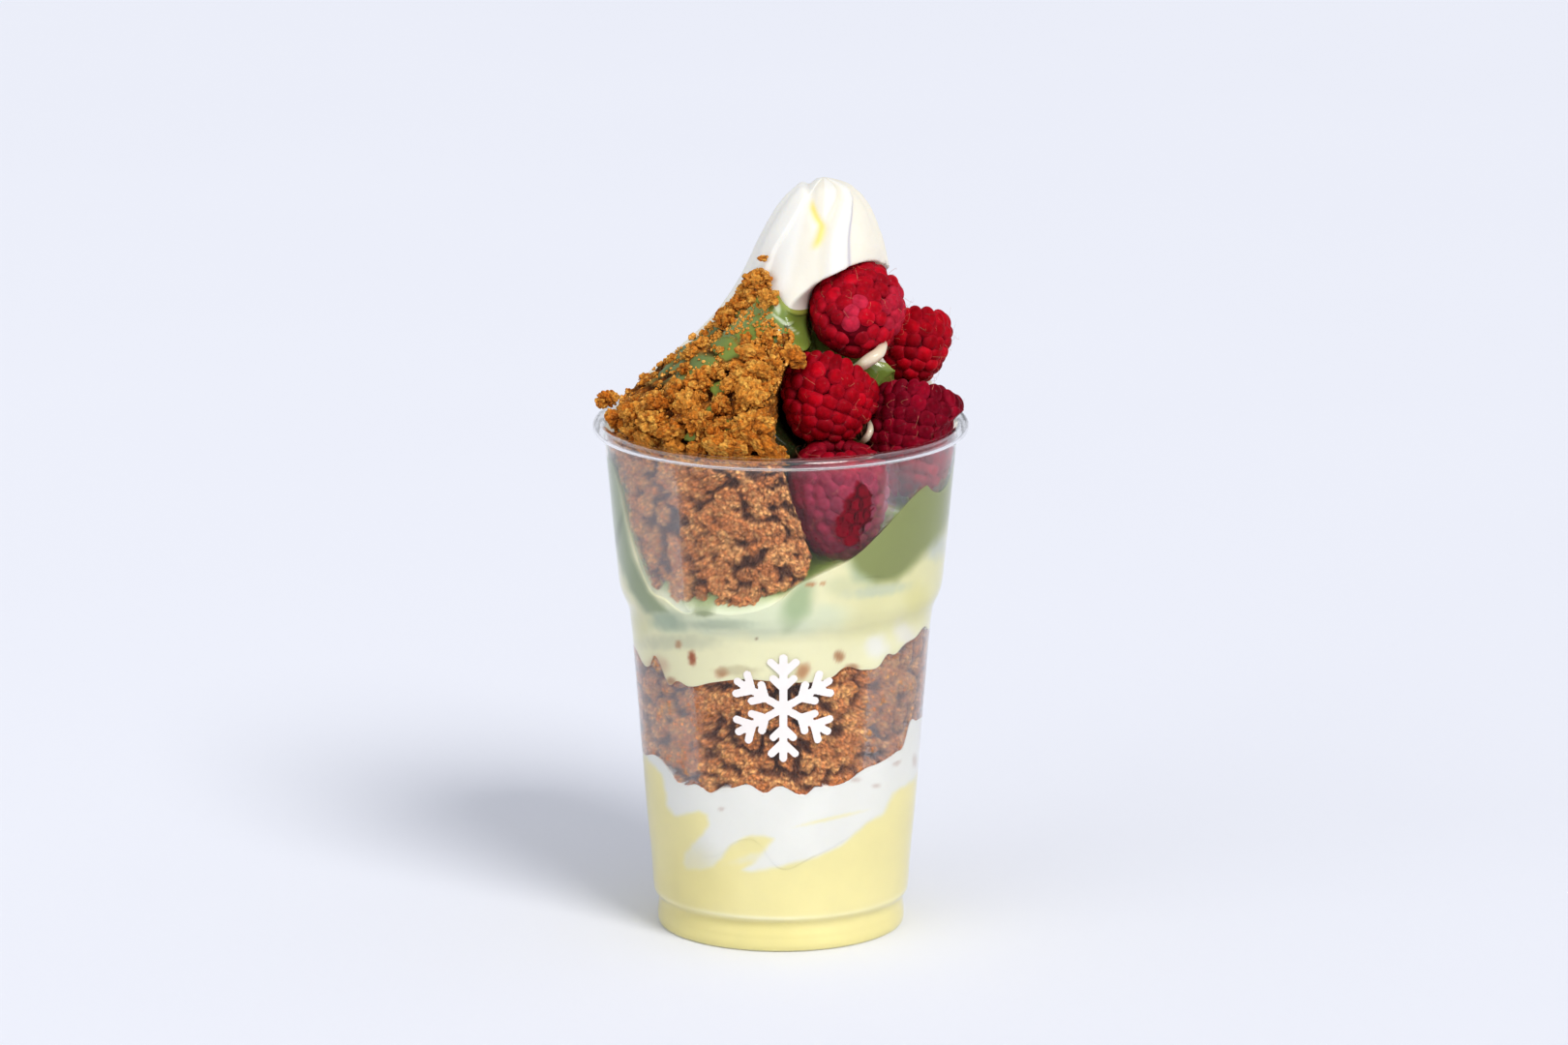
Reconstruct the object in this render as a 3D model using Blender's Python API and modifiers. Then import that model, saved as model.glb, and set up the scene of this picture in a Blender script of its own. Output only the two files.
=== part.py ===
"""Frozen yogurt cup: a clear plastic cup with layers of cream, yogurt and biscuit crumbs, a soft-serve peak,
a heap of crumbs on its left and raspberries on its right.

Sizes are in millimetres and angles in degrees, and the meshes are written in metres. +Z is up, the origin is
the centre of the cup's foot, and angle 0 faces the front, -Y, growing towards +X.
"""

import bisect
import math
import random

import bmesh
import bpy
from mathutils import Vector, noise

MM = 0.001

# Cup
CUP_HEIGHT = 131.0
RIM_RADIUS = 47.5
RIM_THICK = 2.2
MOUTH_RADIUS = 44.4
FOOT_RADIUS = 31.4
FOOT_HEIGHT = 7.6
FOOT_RING = 4.0
PUNT = 1.8
SHOULDER_LOW = 83.0
SHOULDER_HIGH = 89.0
WALL = 0.6
FLOOR = 0.8
INNER_CORNER = 0.4
CUP_SEGMENTS = 36

# Outer wall, as height and radius, from the foot up to the rim
WALL_LINE = [
    (0.0, FOOT_RADIUS - 0.5), (0.9, FOOT_RADIUS), (FOOT_HEIGHT, FOOT_RADIUS), (8.9, 32.4), (28.0, 34.0),
    (55.0, 36.2), (SHOULDER_LOW, 38.5), (SHOULDER_HIGH, 40.9), (105.0, 42.4), (CUP_HEIGHT, MOUTH_RADIUS),
]

# Neighbouring solids keep this gap
GAP = 0.3
FOOD_GAP = GAP + 0.12
BAND_GAP = GAP + 0.35
BAND_ROUGH = 0.9

# Where each layer's top meets the wall, as angle and height
YELLOW_TOP = [
    (-180, 34), (-135, 38), (-100, 42), (-80, 42), (-64, 34), (-50, 30), (-41, 21), (-30, 23), (-20, 30),
    (-10, 28), (-2, 23), (14, 26), (32, 30), (45, 34.5), (60, 39), (90, 41), (135, 36),
]
BAND_BOTTOM = [
    (-180, 45), (-130, 47), (-90, 46), (-77, 46), (-58, 47), (-48, 43), (-20, 42.5), (10, 43), (28, 45),
    (45, 48), (62, 52), (80, 55), (110, 51), (150, 46),
]
BAND_TOP = [
    (-180, 72), (-140, 75), (-100, 74), (-78, 74), (-58, 74), (-48, 69), (-28, 71), (0, 72), (18, 73),
    (42, 75), (64, 78), (90, 77), (130, 74),
]
PALE_TOP = [
    (-180, 106), (-130, 108), (-95, 106), (-78, 100), (-60, 89), (-45, 86), (-20, 84.5), (0, 87), (14, 92),
    (30, 97), (45, 99), (60, 102), (75, 107), (100, 110), (140, 107),
]
GREEN_TOP = [
    (-180, 118), (-135, 120), (-100, 122), (-82, 122.5), (-71, 119), (-64, 107), (-53, 93), (-37, 89),
    (-12, 90.5), (0, 94.5), (12, 100), (26, 103.7), (38, 110), (50, 116.5), (66, 119), (100, 121), (140, 119),
]
MIDDLE_HEIGHTS = {"yellow": 32.0, "band bottom": 45.0, "band top": 73.0, "pale": 98.0}
PLATEAU = 119.0
POCKET_SPAN = 0.36
CAP_SHARES = (0.0, 1 - POCKET_SPAN)
LAYER_SEGMENTS = 36

# Soft-serve peak: height and mean radius, round an axis that leans to the right with height
SWIRL_LINE = [
    (PLATEAU, 43.0), (128, 43.6), (131.5, 43.4), (134, 41.5), (139, 37), (147, 29.5), (158, 22.0),
    (170, 16.6),
    (178, 14.2), (184, 11.8), (188.5, 8.4), (191.5, 4.4), (193, 0.0),
]
PEAK_TOP = 193.0
AXIS_LEAN = [(131, 0.0), (145, 3.6), (160, 7.6), (175, 9.2), (PEAK_TOP, 9.4)]
FLUTES = 8
FLUTE_DEPTH = 0.13
FLUTE_TWIST = 34.0
SWIRL_SEGMENTS = 40
SWIRL_RINGS = 16
POCKET_RADIUS = [(PLATEAU, 26.8), (131, 26.2), (146, 24.6), (158, 22.0), (PEAK_TOP, 22.0)]
POCKET_ANGLES = (-84, 78)
POCKET_BLEND = 15
BERRY_RECESS = 0.5
RECESS_ANGLES = (2, 92)
RECESS_BLEND = 28
RECESS_HEIGHTS = (124, 172)

# Crumbs
CRAG_DEPTH = 1.5
CRUMB_SCALE = 4.5
HEAP_CENTRE = (-36.0, 126.0)
HEAP_OUTLINE = [
    (-71, 121), (-63, 107), (-52, 93.6), (-36, 89.6), (-12, 91.4), (1, 96.5), (11, 102), (9, 109), (5, 117),
    (2, 124), (0, 130), (-3, 135), (-6, 139), (-9, 144), (-8, 151), (-9, 156), (-22, 159), (-31, 163),
    (-38, 168.5), (-52, 171), (-68, 168), (-80, 160), (-86, 150), (-90, 142), (-89, 134), (-82, 127),
]
HEAP_SEGMENTS = 36
HEAP_RINGS = 15
HEAP_COVER = 3.2
HEAP_SINK = 3.0
HEAP_ROUGH = 1.3
DEGREE_ARC = 0.62
CHUNKS = 26
CHUNK_SIZE = (2.3, 4.0)
CHUNK_SHAPE = (1.15, 0.95, 0.85)
CHUNK_ROUGH = 0.34
RIM_CHUNK = ((-42.6, -3.5, 136.6), 3.6)

# Colour and roughness of each material, and for the plastic its alpha and transmission
CLEAR_PLASTIC = ((0.95, 0.96, 0.98), 0.05, 0.25, 1.0)
YELLOW_CREAM = ((0.88, 0.80, 0.40), 0.45)
WHITE_YOGURT = ((0.86, 0.87, 0.80), 0.4)
CRUMB = ((0.36, 0.11, 0.014), 0.9)
PALE_CREAM = ((0.76, 0.75, 0.47), 0.45)
PISTACHIO_CREAM = ((0.28, 0.32, 0.13), 0.4)
SOFT_SERVE = ((0.95, 0.93, 0.85), 0.4)
RASPBERRY = ((0.29, 0.004, 0.012), 0.4)

# Raspberries: centre, direction from the tip to the open end, length, width
BERRIES = [
    ((18.9, -9.0, 160.4), (0.12, 0.93, 0.30), 25.0, 24.2),
    ((32.2, 5.0, 149.6), (0.05, 0.28, 0.96), 22.5, 21.8),
    ((11.8, -17.5, 140.2), (0.28, 0.34, 0.90), 25.0, 24.6),
    ((33.4, -11.9, 130.2), (0.17, 0.24, 0.95), 33.8, 24.4),
    ((14.4, -27.4, 116.6), (0.00, -0.08, 1.00), 32.0, 25.4),
]
DRUPELETS_ROUND = 10
DRUPELET_ROWS = 8
DRUPELET_RISE = 1.1
BERRY_HOLLOW = 4.6
BERRY_SEGMENTS = 30
BERRY_RINGS = 14
BERRY_TAPER = 0.17
RIM_CLEAR = 2.0


def smooth(t):
    t = min(max(t, 0.0), 1.0)
    return t * t * (3 - 2 * t)


def mix(a, b, t):
    return a + (b - a) * t


def along(line, x):
    """The value at x on a line of (x, value) points, straight between them."""
    if x <= line[0][0]:
        return line[0][1]
    for (x0, v0), (x1, v1) in zip(line, line[1:]):
        if x <= x1:
            return mix(v0, v1, (x - x0) / (x1 - x0))
    return line[-1][1]


def around(line, angle, turn=360.0):
    """The value at an angle on a closed Catmull-Rom line through (angle, value) points."""
    start = line[0][0]
    angle = start + (angle - start) % turn
    i = bisect.bisect_right([a for a, _ in line], angle) - 1
    n = len(line)
    points = []
    for k in range(i - 1, i + 3):
        a, v = line[k % n]
        points.append((a + turn * (k // n), v))
    (a0, v0), (a1, v1), (a2, v2), (a3, v3) = points
    t = (angle - a1) / (a2 - a1)
    m1 = (v2 - v0) / (a2 - a0) * (a2 - a1)
    m2 = (v3 - v1) / (a3 - a1) * (a2 - a1)
    return (
        (2 * t**3 - 3 * t**2 + 1) * v1 + (t**3 - 2 * t**2 + t) * m1
        + (3 * t**2 - 2 * t**3) * v2 + (t**3 - t**2) * m2
    )


def food_radius(z):
    """The radius that food may fill inside the cup at height z."""
    return along(WALL_LINE, z) - WALL - GAP


def at(radius, angle, z, axis_x=0.0):
    a = math.radians(angle)
    return Vector((axis_x + radius * math.sin(a), -radius * math.cos(a), z))


def rough(point, scale, seed=0.0):
    """Even noise from -1 to 1 at a point in millimetres, with lumps of about that scale."""
    return noise.noise(Vector(point) / scale + Vector((seed, 0, 0)))


def clear_scene():
    for obj in list(bpy.data.objects):
        bpy.data.objects.remove(obj)


def new_collection(name):
    made = bpy.data.collections.new(name)
    bpy.context.scene.collection.children.link(made)
    return made


def new_material(name, colour, roughness, alpha=1.0, transmission=0.0):
    material = bpy.data.materials.new(name)
    material.use_nodes = True
    shader = material.node_tree.nodes["Principled BSDF"]
    shader.inputs["Base Color"].default_value = (*colour, 1.0)
    shader.inputs["Roughness"].default_value = roughness
    shader.inputs["Metallic"].default_value = 0.0
    shader.inputs["Alpha"].default_value = alpha
    shader.inputs["Transmission Weight"].default_value = transmission
    return material


def new_object(name, mesh, collection, look=None):
    """An object with the mesh and, if look gives a colour and roughness, a material of its own."""
    obj = bpy.data.objects.new(name, mesh)
    collection.objects.link(obj)
    if look:
        mesh.materials.append(new_material(name, *look))
    return obj


def moulded_sphere(name, segments, rings, shape):
    """A UV sphere's mesh moved to shape(u, v): u from 0 to 1 round it and v from pole to pole."""
    bm = bmesh.new()
    bmesh.ops.create_uvsphere(bm, u_segments=segments, v_segments=rings, radius=1.0)
    for vert in bm.verts:
        x, y, z = vert.co
        v = math.acos(min(max(z, -1.0), 1.0)) / math.pi
        u = math.atan2(x, -y) / (2 * math.pi) % 1.0
        vert.co = shape(u, v) * MM
    bmesh.ops.triangulate(bm, faces=bm.faces, quad_method="SHORT_EDGE")
    if bm.calc_volume(signed=True) < 0:
        bmesh.ops.reverse_faces(bm, faces=bm.faces)
    mesh = bpy.data.meshes.new(name)
    bm.to_mesh(mesh)
    bm.free()
    return mesh


# Cup

def cup_profile():
    """The cup's section from the middle of its floor, up the inner wall, over the rim and down outside."""
    inner = [(r - WALL, z) for z, r in WALL_LINE if z > FLOOR + PUNT]
    floor = PUNT + FLOOR
    corner = FOOT_RADIUS - WALL
    line = [(0.0, floor), (corner - INNER_CORNER, floor), (corner, floor + INNER_CORNER)]
    line += inner[:-1]
    rim_low = CUP_HEIGHT - RIM_THICK
    line.append((MOUTH_RADIUS - WALL, CUP_HEIGHT - 0.9))
    line.append((MOUTH_RADIUS - 0.1, CUP_HEIGHT))
    steps = 5
    for i in range(steps + 1):
        a = math.radians(90 - 180 * i / steps)
        line.append((
            RIM_RADIUS - RIM_THICK / 2 + RIM_THICK / 2 * math.cos(a),
            CUP_HEIGHT - RIM_THICK / 2 + RIM_THICK / 2 * math.sin(a),
        ))
    line.append((MOUTH_RADIUS + 0.3, rim_low + 0.1))
    line += [(r, z) for z, r in reversed(WALL_LINE[:-1])]
    line += [(FOOT_RADIUS - FOOT_RING, 0.0), (FOOT_RADIUS - FOOT_RING - 1.0, PUNT), (0.0, PUNT)]
    return line


def make_cup(collection):
    profile = cup_profile()
    mesh = bpy.data.meshes.new("cup")
    mesh.from_pydata(
        [(r * MM, 0.0, z * MM) for r, z in profile], [(i, i + 1) for i in range(len(profile) - 1)], []
    )
    cup = new_object("cup", mesh, collection, CLEAR_PLASTIC)
    screw = cup.modifiers.new("Turn", "SCREW")
    screw.steps = screw.render_steps = CUP_SEGMENTS
    screw.use_merge_vertices = True
    screw.merge_threshold = 0.00005
    screw.use_smooth_shade = True


# Layers inside the cup

def ring_heights(low, high, count, bend):
    """Heights of the side rings from low to high, with the nearest inner one moved onto the wall's bend."""
    heights = [mix(low, high, i / (count - 1)) for i in range(count)]
    if low < bend < high:
        nearest = min(range(1, count - 1), key=lambda i: abs(heights[i] - bend))
        heights[nearest] = bend
    return heights


def layer_mesh(name, bottom, top, rings, bend=0.0, crag=0.0):
    """A slice of the contents between two uneven heights, each by share of radius and angle."""
    rows = rings + 2 * len(CAP_SHARES)

    def shape(u, v):
        angle = 360.0 * u
        row = round(v * (rows - 1))
        from_edge = min(row, rows - 1 - row)
        if from_edge < len(CAP_SHARES):
            rho = CAP_SHARES[from_edge]
            z = (top if row < rows / 2 else bottom)(rho, angle)
            return at(rho * food_radius(z), angle, z)
        z = ring_heights(bottom(1.0, angle), top(1.0, angle), rings, bend)[rows - 1 - len(CAP_SHARES) - row]
        radius = food_radius(z)
        if crag:
            radius -= crag * smooth(0.5 + 1.4 * rough(at(radius, angle, z), CRUMB_SCALE))
        return at(radius, angle, z)

    return moulded_sphere(name, LAYER_SEGMENTS, rows - 1, shape)


def spread(wall_line, centre, lift=0.0):
    """A layer's surface height from the middle out to the wall."""

    def height(rho, angle):
        return mix(centre, around(wall_line, angle), rho**3) + lift

    return height


def green_top(rho, angle, lift=0.0):
    """The pistachio cream's top: level in the middle, and down to the wall at the front pocket."""
    wall = around(GREEN_TOP, angle)
    return mix(wall, PLATEAU, min((1 - rho) / POCKET_SPAN, 1.0)) + lift


def make_layers(collection):
    floor = PUNT + FLOOR + GAP
    yellow_top = spread(YELLOW_TOP, MIDDLE_HEIGHTS["yellow"])
    white_bottom = spread(YELLOW_TOP, MIDDLE_HEIGHTS["yellow"], GAP)
    wavy_bottom = spread(BAND_BOTTOM, MIDDLE_HEIGHTS["band bottom"])
    wavy_top = spread(BAND_TOP, MIDDLE_HEIGHTS["band top"])
    pale_top = spread(PALE_TOP, MIDDLE_HEIGHTS["pale"])

    def flat_floor(rho, angle):
        return floor

    def band_bottom(rho, angle):
        p = at(FOOT_RADIUS * rho, angle, 0)
        return wavy_bottom(rho, angle) + BAND_GAP + BAND_ROUGH * smooth(0.5 + rough(p, CRUMB_SCALE, 9.0))

    def band_top(rho, angle):
        p = at(FOOT_RADIUS * rho, angle, 0)
        return wavy_top(rho, angle) - BAND_GAP - BAND_ROUGH * smooth(0.5 + rough(p, CRUMB_SCALE, 5.0))

    yellow = layer_mesh("yellow_cream", flat_floor, yellow_top, 4, FOOT_HEIGHT)
    white = layer_mesh("white_yogurt", white_bottom, wavy_bottom, 3)
    band = layer_mesh("crumb_band", band_bottom, band_top, 7, 0.0, CRAG_DEPTH)
    pale = layer_mesh("pale_cream", wavy_top, pale_top, 4, SHOULDER_LOW)
    new_object("yellow_cream", yellow, collection, YELLOW_CREAM)
    new_object("white_yogurt", white, collection, WHITE_YOGURT)
    new_object("crumb_band", band, collection, CRUMB)
    new_object("pale_cream", pale, collection, PALE_CREAM)


def green_mesh(name):
    return layer_mesh(name, spread(PALE_TOP, MIDDLE_HEIGHTS["pale"], GAP), green_top, 3)


# Soft-serve peak

def front_pocket(angle):
    """How far the front, where crumbs and berries lie inside the cup, is set back: from 0 to 1."""
    angle = (angle + 180) % 360 - 180
    left, right = POCKET_ANGLES
    return smooth((angle - left) / POCKET_BLEND) * smooth((right - angle) / POCKET_BLEND)


def berry_recess(angle, z):
    """How far the raspberries have pressed the peak in on its right front, from 0 to 1."""
    angle = (angle + 180) % 360 - 180
    left, right = RECESS_ANGLES
    low, high = RECESS_HEIGHTS
    side = smooth((angle - left) / RECESS_BLEND) * smooth((right - angle) / RECESS_BLEND)
    return side * smooth((high - z) / 12) * smooth((z - low) / 8)


def swirl_radius(angle, z):
    radius = along(SWIRL_LINE, z)
    in_pocket = min(radius, along(POCKET_RADIUS, z))
    radius = mix(radius, in_pocket, front_pocket(angle))
    radius *= 1 - BERRY_RECESS * berry_recess(angle, z)
    turned = math.radians(FLUTES * (angle - FLUTE_TWIST * (z - CUP_HEIGHT) / (PEAK_TOP - CUP_HEIGHT)))
    groove = 1 - abs(math.sin(turned / 2)) ** 0.8
    depth = FLUTE_DEPTH * smooth((z - CUP_HEIGHT - 2) / 12) * smooth((PEAK_TOP + 1 - z) / 6)
    return radius * (1 - 1.6 * depth * groove + 0.6 * depth)


def swirl_mesh(name):
    """The peak, from its tip down to the cream that it stands on."""
    side = SWIRL_RINGS
    cap_rings = 2
    rows = side + cap_rings

    def shape(u, v):
        angle = 360.0 * u
        row = round(v * rows)
        rho = min(swirl_radius(angle, PLATEAU) / food_radius(PLATEAU), 1.0)
        if row > side:
            rho = min(1 - POCKET_SPAN, 0.9 * rho) * (rows - row) / (cap_rings - 1)
            return at(rho * food_radius(PLATEAU), angle, green_top(rho, angle, GAP))
        if row == 0:
            return at(0.0, angle, PEAK_TOP, along(AXIS_LEAN, PEAK_TOP))
        z = mix(PEAK_TOP, green_top(rho, angle, GAP), (row / side) ** 1.25)
        radius = swirl_radius(angle, z)
        if z < CUP_HEIGHT:
            radius = min(radius, food_radius(z))
        return at(radius, angle, z, along(AXIS_LEAN, z))

    return moulded_sphere(name, SWIRL_SEGMENTS, rows, shape)


# Crumb heap

def outline_reach(turn_angle):
    """Distance from the heap's centre to its outline, in the flattened plane of arc and height."""
    centre_angle, centre_z = HEAP_CENTRE
    polar = []
    for angle, z in HEAP_OUTLINE:
        x, y = (angle - centre_angle) * DEGREE_ARC, z - centre_z
        polar.append((math.degrees(math.atan2(y, x)) % 360, math.hypot(x, y)))
    return around(sorted(polar), turn_angle)


def heap_inner(angle, z):
    """The radius of what the heap lies on: the cream's slope inside the cup and the peak above it."""
    wall = around(GREEN_TOP, angle)
    if z < PLATEAU:
        share = (z - wall) / max(PLATEAU - wall, 1.0)
        return food_radius(z) * (1 - POCKET_SPAN * min(max(share, 0.0), 1.0))
    return swirl_radius(angle, z)


def heap_outer(angle, z):
    """The heap's outer radius: against the wall inside the cup, and a rough slope above its rim."""
    inside = food_radius(min(z, CUP_HEIGHT - 3))
    p = at(inside, angle, z)
    inside -= CRAG_DEPTH * smooth(0.5 + 1.4 * rough(p, CRUMB_SCALE, 3.0))
    slope = along(SWIRL_LINE, z) + HEAP_COVER + HEAP_ROUGH * rough(p, CRUMB_SCALE, 7.0)
    return mix(inside, min(slope, inside), smooth((z - CUP_HEIGHT + 2.5) / 3))


def heap_point(angle, z, depth):
    """A point of the heap, depth running from 0 outside to 1 under the surface that the heap is cut to."""
    inner = heap_inner(angle, z) - HEAP_SINK
    outer = min(max(heap_outer(angle, z), inner + HEAP_SINK + 1.0), food_radius(min(z, CUP_HEIGHT - 3)))
    return at(mix(outer, inner, depth), angle, z, along(AXIS_LEAN, z))


def heap_shape(u, v):
    centre_angle, centre_z = HEAP_CENTRE
    turn_angle = 360.0 * u
    share = 2 * v if v <= 0.5 else 2 - 2 * v
    reach = outline_reach(turn_angle) * share
    a = math.radians(turn_angle)
    angle = centre_angle + reach * math.cos(a) / DEGREE_ARC
    z = centre_z + reach * math.sin(a)
    return heap_point(angle, z, smooth((v - 0.5) * 9) if v > 0.5 else 0.0)


def berry_clearance(point):
    """The distance from a point to the nearest raspberry, roughly."""
    return min((point - Vector(place)).length - max(long, wide) / 2 for place, _, long, wide in BERRIES)


def chunk_places():
    """Centres and sizes of the crumbs that stand out of the heap above the rim."""
    rand = random.Random(7)
    centre_angle, centre_z = HEAP_CENTRE
    places = [RIM_CHUNK]
    while len(places) < CHUNKS:
        turn_angle = rand.uniform(0, 360)
        reach = outline_reach(turn_angle) * 0.94 * math.sqrt(rand.random())
        a = math.radians(turn_angle)
        angle = centre_angle + reach * math.cos(a) / DEGREE_ARC
        z = centre_z + reach * math.sin(a)
        size = rand.uniform(*CHUNK_SIZE) * mix(1.0, 0.6, smooth((z - 146) / 18))
        if z - size < CUP_HEIGHT + 0.6:
            continue
        place = heap_point(angle, z, 0.0) - at(size * 0.35, angle, 0.0)
        radius = math.hypot(place.x, place.y)
        too_low = radius + size * 1.45 > MOUTH_RADIUS - 1 and place.z - size * 1.1 < CUP_HEIGHT + 0.5
        near = any((place - Vector(p)).length < (size + s) * 0.62 for p, s in places)
        if too_low or near or berry_clearance(place) < size * 1.25 + GAP:
            continue
        places.append((tuple(place), size))
    return places


def make_chunk(name, place, size, seed, collection):
    bm = bmesh.new()
    bmesh.ops.create_icosphere(bm, subdivisions=1, radius=1.1)
    for vert in bm.verts:
        p = vert.co * (1 + CHUNK_ROUGH * noise.noise(vert.co * 1.7 + Vector((seed * 3.1, 0, 0))))
        vert.co = (Vector(place) + p * Vector(CHUNK_SHAPE) * size) * MM
    mesh = bpy.data.meshes.new(name)
    bm.to_mesh(mesh)
    bm.free()
    return new_object(name, mesh, collection)


def make_heap(collection, cutters):
    mesh = moulded_sphere("crumb_heap", HEAP_SEGMENTS, HEAP_RINGS, heap_shape)
    heap = new_object("crumb_heap", mesh, collection, CRUMB)
    pieces = new_collection("crumb pieces")
    for i, (place, size) in enumerate(chunk_places()):
        make_chunk(f"crumb piece {i}", place, size, i, pieces)
    union = heap.modifiers.new("Crumbs", "BOOLEAN")
    union.operation = "UNION"
    union.solver = "MANIFOLD"
    union.operand_type = "COLLECTION"
    union.collection = pieces
    apply_modifiers(heap)
    for piece in list(pieces.objects):
        bpy.data.objects.remove(piece)
    bpy.data.collections.remove(pieces)
    cut(heap, cutters)
    apply_modifiers(heap)
    keep_largest(heap.data)


# Raspberries

def wall_limit(z, gap):
    """The furthest radius of a soft berry: the cup's inner wall, opening out above the rim."""
    spill = max(z - CUP_HEIGHT - RIM_CLEAR, 0.0)
    return along(WALL_LINE, min(z, CUP_HEIGHT)) - WALL - gap + spill


def drupelet_rise(angle, row):
    """Height of the beads at a place on the berry, as a share: rows of beads, each set half a bead on."""
    best = 0.0
    nearest = math.floor(row)
    for r in (nearest, nearest + 1):
        across = angle * DRUPELETS_ROUND / 360 + 0.5 * (r % 2)
        dx = across - round(across)
        dy = (row - r) * 0.82
        best = max(best, 1 - (dx * dx + dy * dy) / 0.3)
    return math.sqrt(max(best, 0.0))


def berry_point(length, width, angle, share, rise, extra):
    """A point of a berry in its own frame, +Z by the open end; share runs from that end to the tip."""
    a = math.pi * share
    height = math.cos(a)
    radius = width / 2 * math.sin(a) ** 0.8 * (1 + BERRY_TAPER * height) - DRUPELET_RISE * (1 - rise)
    radius = max(radius, 0.0) + extra * math.sin(a)
    z = (length / 2 + extra) * height
    if not extra:
        open_end = smooth((0.30 - share) / 0.20)
        z -= BERRY_HOLLOW * open_end
    p = Vector((radius * math.sin(math.radians(angle)), -radius * math.cos(math.radians(angle)), z))
    return p if share not in (0, 1) else Vector((0, 0, z))


def berry_mesh(name, berry, extra=0.0):
    centre, up, length, width = berry
    turn = Vector(up).to_track_quat("Z", "Y").to_matrix()
    bumps = extra == 0

    def shape(u, v):
        angle = 360.0 * u
        rise = drupelet_rise(angle, v * DRUPELET_ROWS + 0.5) if bumps else 1.0
        p = turn @ berry_point(length, width, angle, v, rise, extra) + Vector(centre)
        radius = math.hypot(p.x, p.y)
        limit = wall_limit(p.z, FOOD_GAP - extra)
        if radius > limit:
            p.x *= limit / radius
            p.y *= limit / radius
        return p

    segments, rings = (BERRY_SEGMENTS, BERRY_RINGS) if bumps else (BERRY_SEGMENTS - 10, BERRY_RINGS - 2)
    return moulded_sphere(name, segments, rings, shape)


# Cutting neighbours clear of each other

def make_cutter(name, mesh, collection):
    cutter = new_object(name, mesh, collection)
    cutter.hide_render = True
    cutter.display_type = "WIRE"
    return cutter


def grow(mesh, distance):
    """Moves a mesh's whole surface outwards by a distance in millimetres."""
    bm = bmesh.new()
    bm.from_mesh(mesh)
    moved = [(vert, vert.co + vert.normal * vert.calc_shell_factor() * distance * MM) for vert in bm.verts]
    for vert, place in moved:
        vert.co = place
    bm.to_mesh(mesh)
    bm.free()
    return mesh


def cut(obj, cutters):
    for cutter in cutters:
        modifier = obj.modifiers.new(cutter.name, "BOOLEAN")
        modifier.operation = "DIFFERENCE"
        modifier.solver = "MANIFOLD"
        modifier.object = cutter


def apply_modifiers(obj):
    graph = bpy.context.evaluated_depsgraph_get()
    mesh = bpy.data.meshes.new_from_object(obj.evaluated_get(graph))
    obj.modifiers.clear()
    obj.data = mesh


def keep_largest(mesh):
    """Drops the crumbs that a cut has parted from the largest body, or left joined at a corner."""
    bm = bmesh.new()
    bm.from_mesh(mesh)
    left = set(bm.faces)
    bodies = []
    while left:
        body = {left.pop()}
        border = list(body)
        while border:
            edges = {edge for face in border for edge in face.edges if len(edge.link_faces) == 2}
            near = {face for edge in edges for face in edge.link_faces} - body
            body |= near
            border = list(near)
        left -= body
        bodies.append(body)
    largest = max(bodies, key=len)
    bmesh.ops.delete(bm, geom=[face for face in bm.faces if face not in largest], context="FACES")
    bm.to_mesh(mesh)
    bm.free()


def main():
    clear_scene()
    parts = new_collection("frozen yogurt cup")
    tools = new_collection("cutters")
    make_cup(parts)
    make_layers(parts)

    rooms = []
    for i, berry in enumerate(BERRIES, start=1):
        raspberry = new_object(f"raspberry_{i}", berry_mesh(f"raspberry_{i}", berry), parts, RASPBERRY)
        cut(raspberry, rooms)
        rooms.append(make_cutter(f"room for raspberry {i}", berry_mesh("room", berry, FOOD_GAP), tools))

    pistachio = new_object("pistachio_cream", green_mesh("pistachio_cream"), parts, PISTACHIO_CREAM)
    cut(pistachio, [rooms[3], rooms[4]])
    swirl = new_object("swirl", swirl_mesh("swirl"), parts, SOFT_SERVE)
    cut(swirl, rooms)
    bed = [
        make_cutter("room for pistachio cream", grow(green_mesh("room"), FOOD_GAP), tools),
        make_cutter("room for swirl", grow(swirl_mesh("room"), FOOD_GAP), tools),
    ]
    make_heap(parts, bed + [rooms[2], rooms[4]])


main()
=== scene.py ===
"""Frozen yogurt cup: the dressed scene.

The object is a clear plastic cup with layers of cream, yogurt and biscuit crumbs, a soft-serve peak with a
green sauce, a heap of crumbs on the left and five raspberries on the right. Sizes are in millimetres and
angles in degrees; angle 0 faces the front, -Y, and grows towards +X. Colours are sRGB, from 0 to 255.
"""

import itertools
import math

import bmesh
import bpy
import numpy as np
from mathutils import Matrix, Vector


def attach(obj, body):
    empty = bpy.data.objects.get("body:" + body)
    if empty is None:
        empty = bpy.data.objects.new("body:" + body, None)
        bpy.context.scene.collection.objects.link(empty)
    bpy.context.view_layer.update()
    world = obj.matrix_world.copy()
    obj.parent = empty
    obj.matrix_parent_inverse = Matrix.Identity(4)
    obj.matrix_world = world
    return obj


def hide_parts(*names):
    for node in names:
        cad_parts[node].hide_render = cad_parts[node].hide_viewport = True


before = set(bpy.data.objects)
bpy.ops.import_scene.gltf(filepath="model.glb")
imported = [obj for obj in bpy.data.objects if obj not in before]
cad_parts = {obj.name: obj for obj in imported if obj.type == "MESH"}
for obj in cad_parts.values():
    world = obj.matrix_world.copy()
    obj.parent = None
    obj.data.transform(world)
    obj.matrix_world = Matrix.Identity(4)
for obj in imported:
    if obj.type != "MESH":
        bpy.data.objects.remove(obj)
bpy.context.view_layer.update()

MM = 0.001
PAINT = 0.915  # the share of a colour seen in the studio light that is the material's own
RNG = np.random.default_rng(11)

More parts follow.
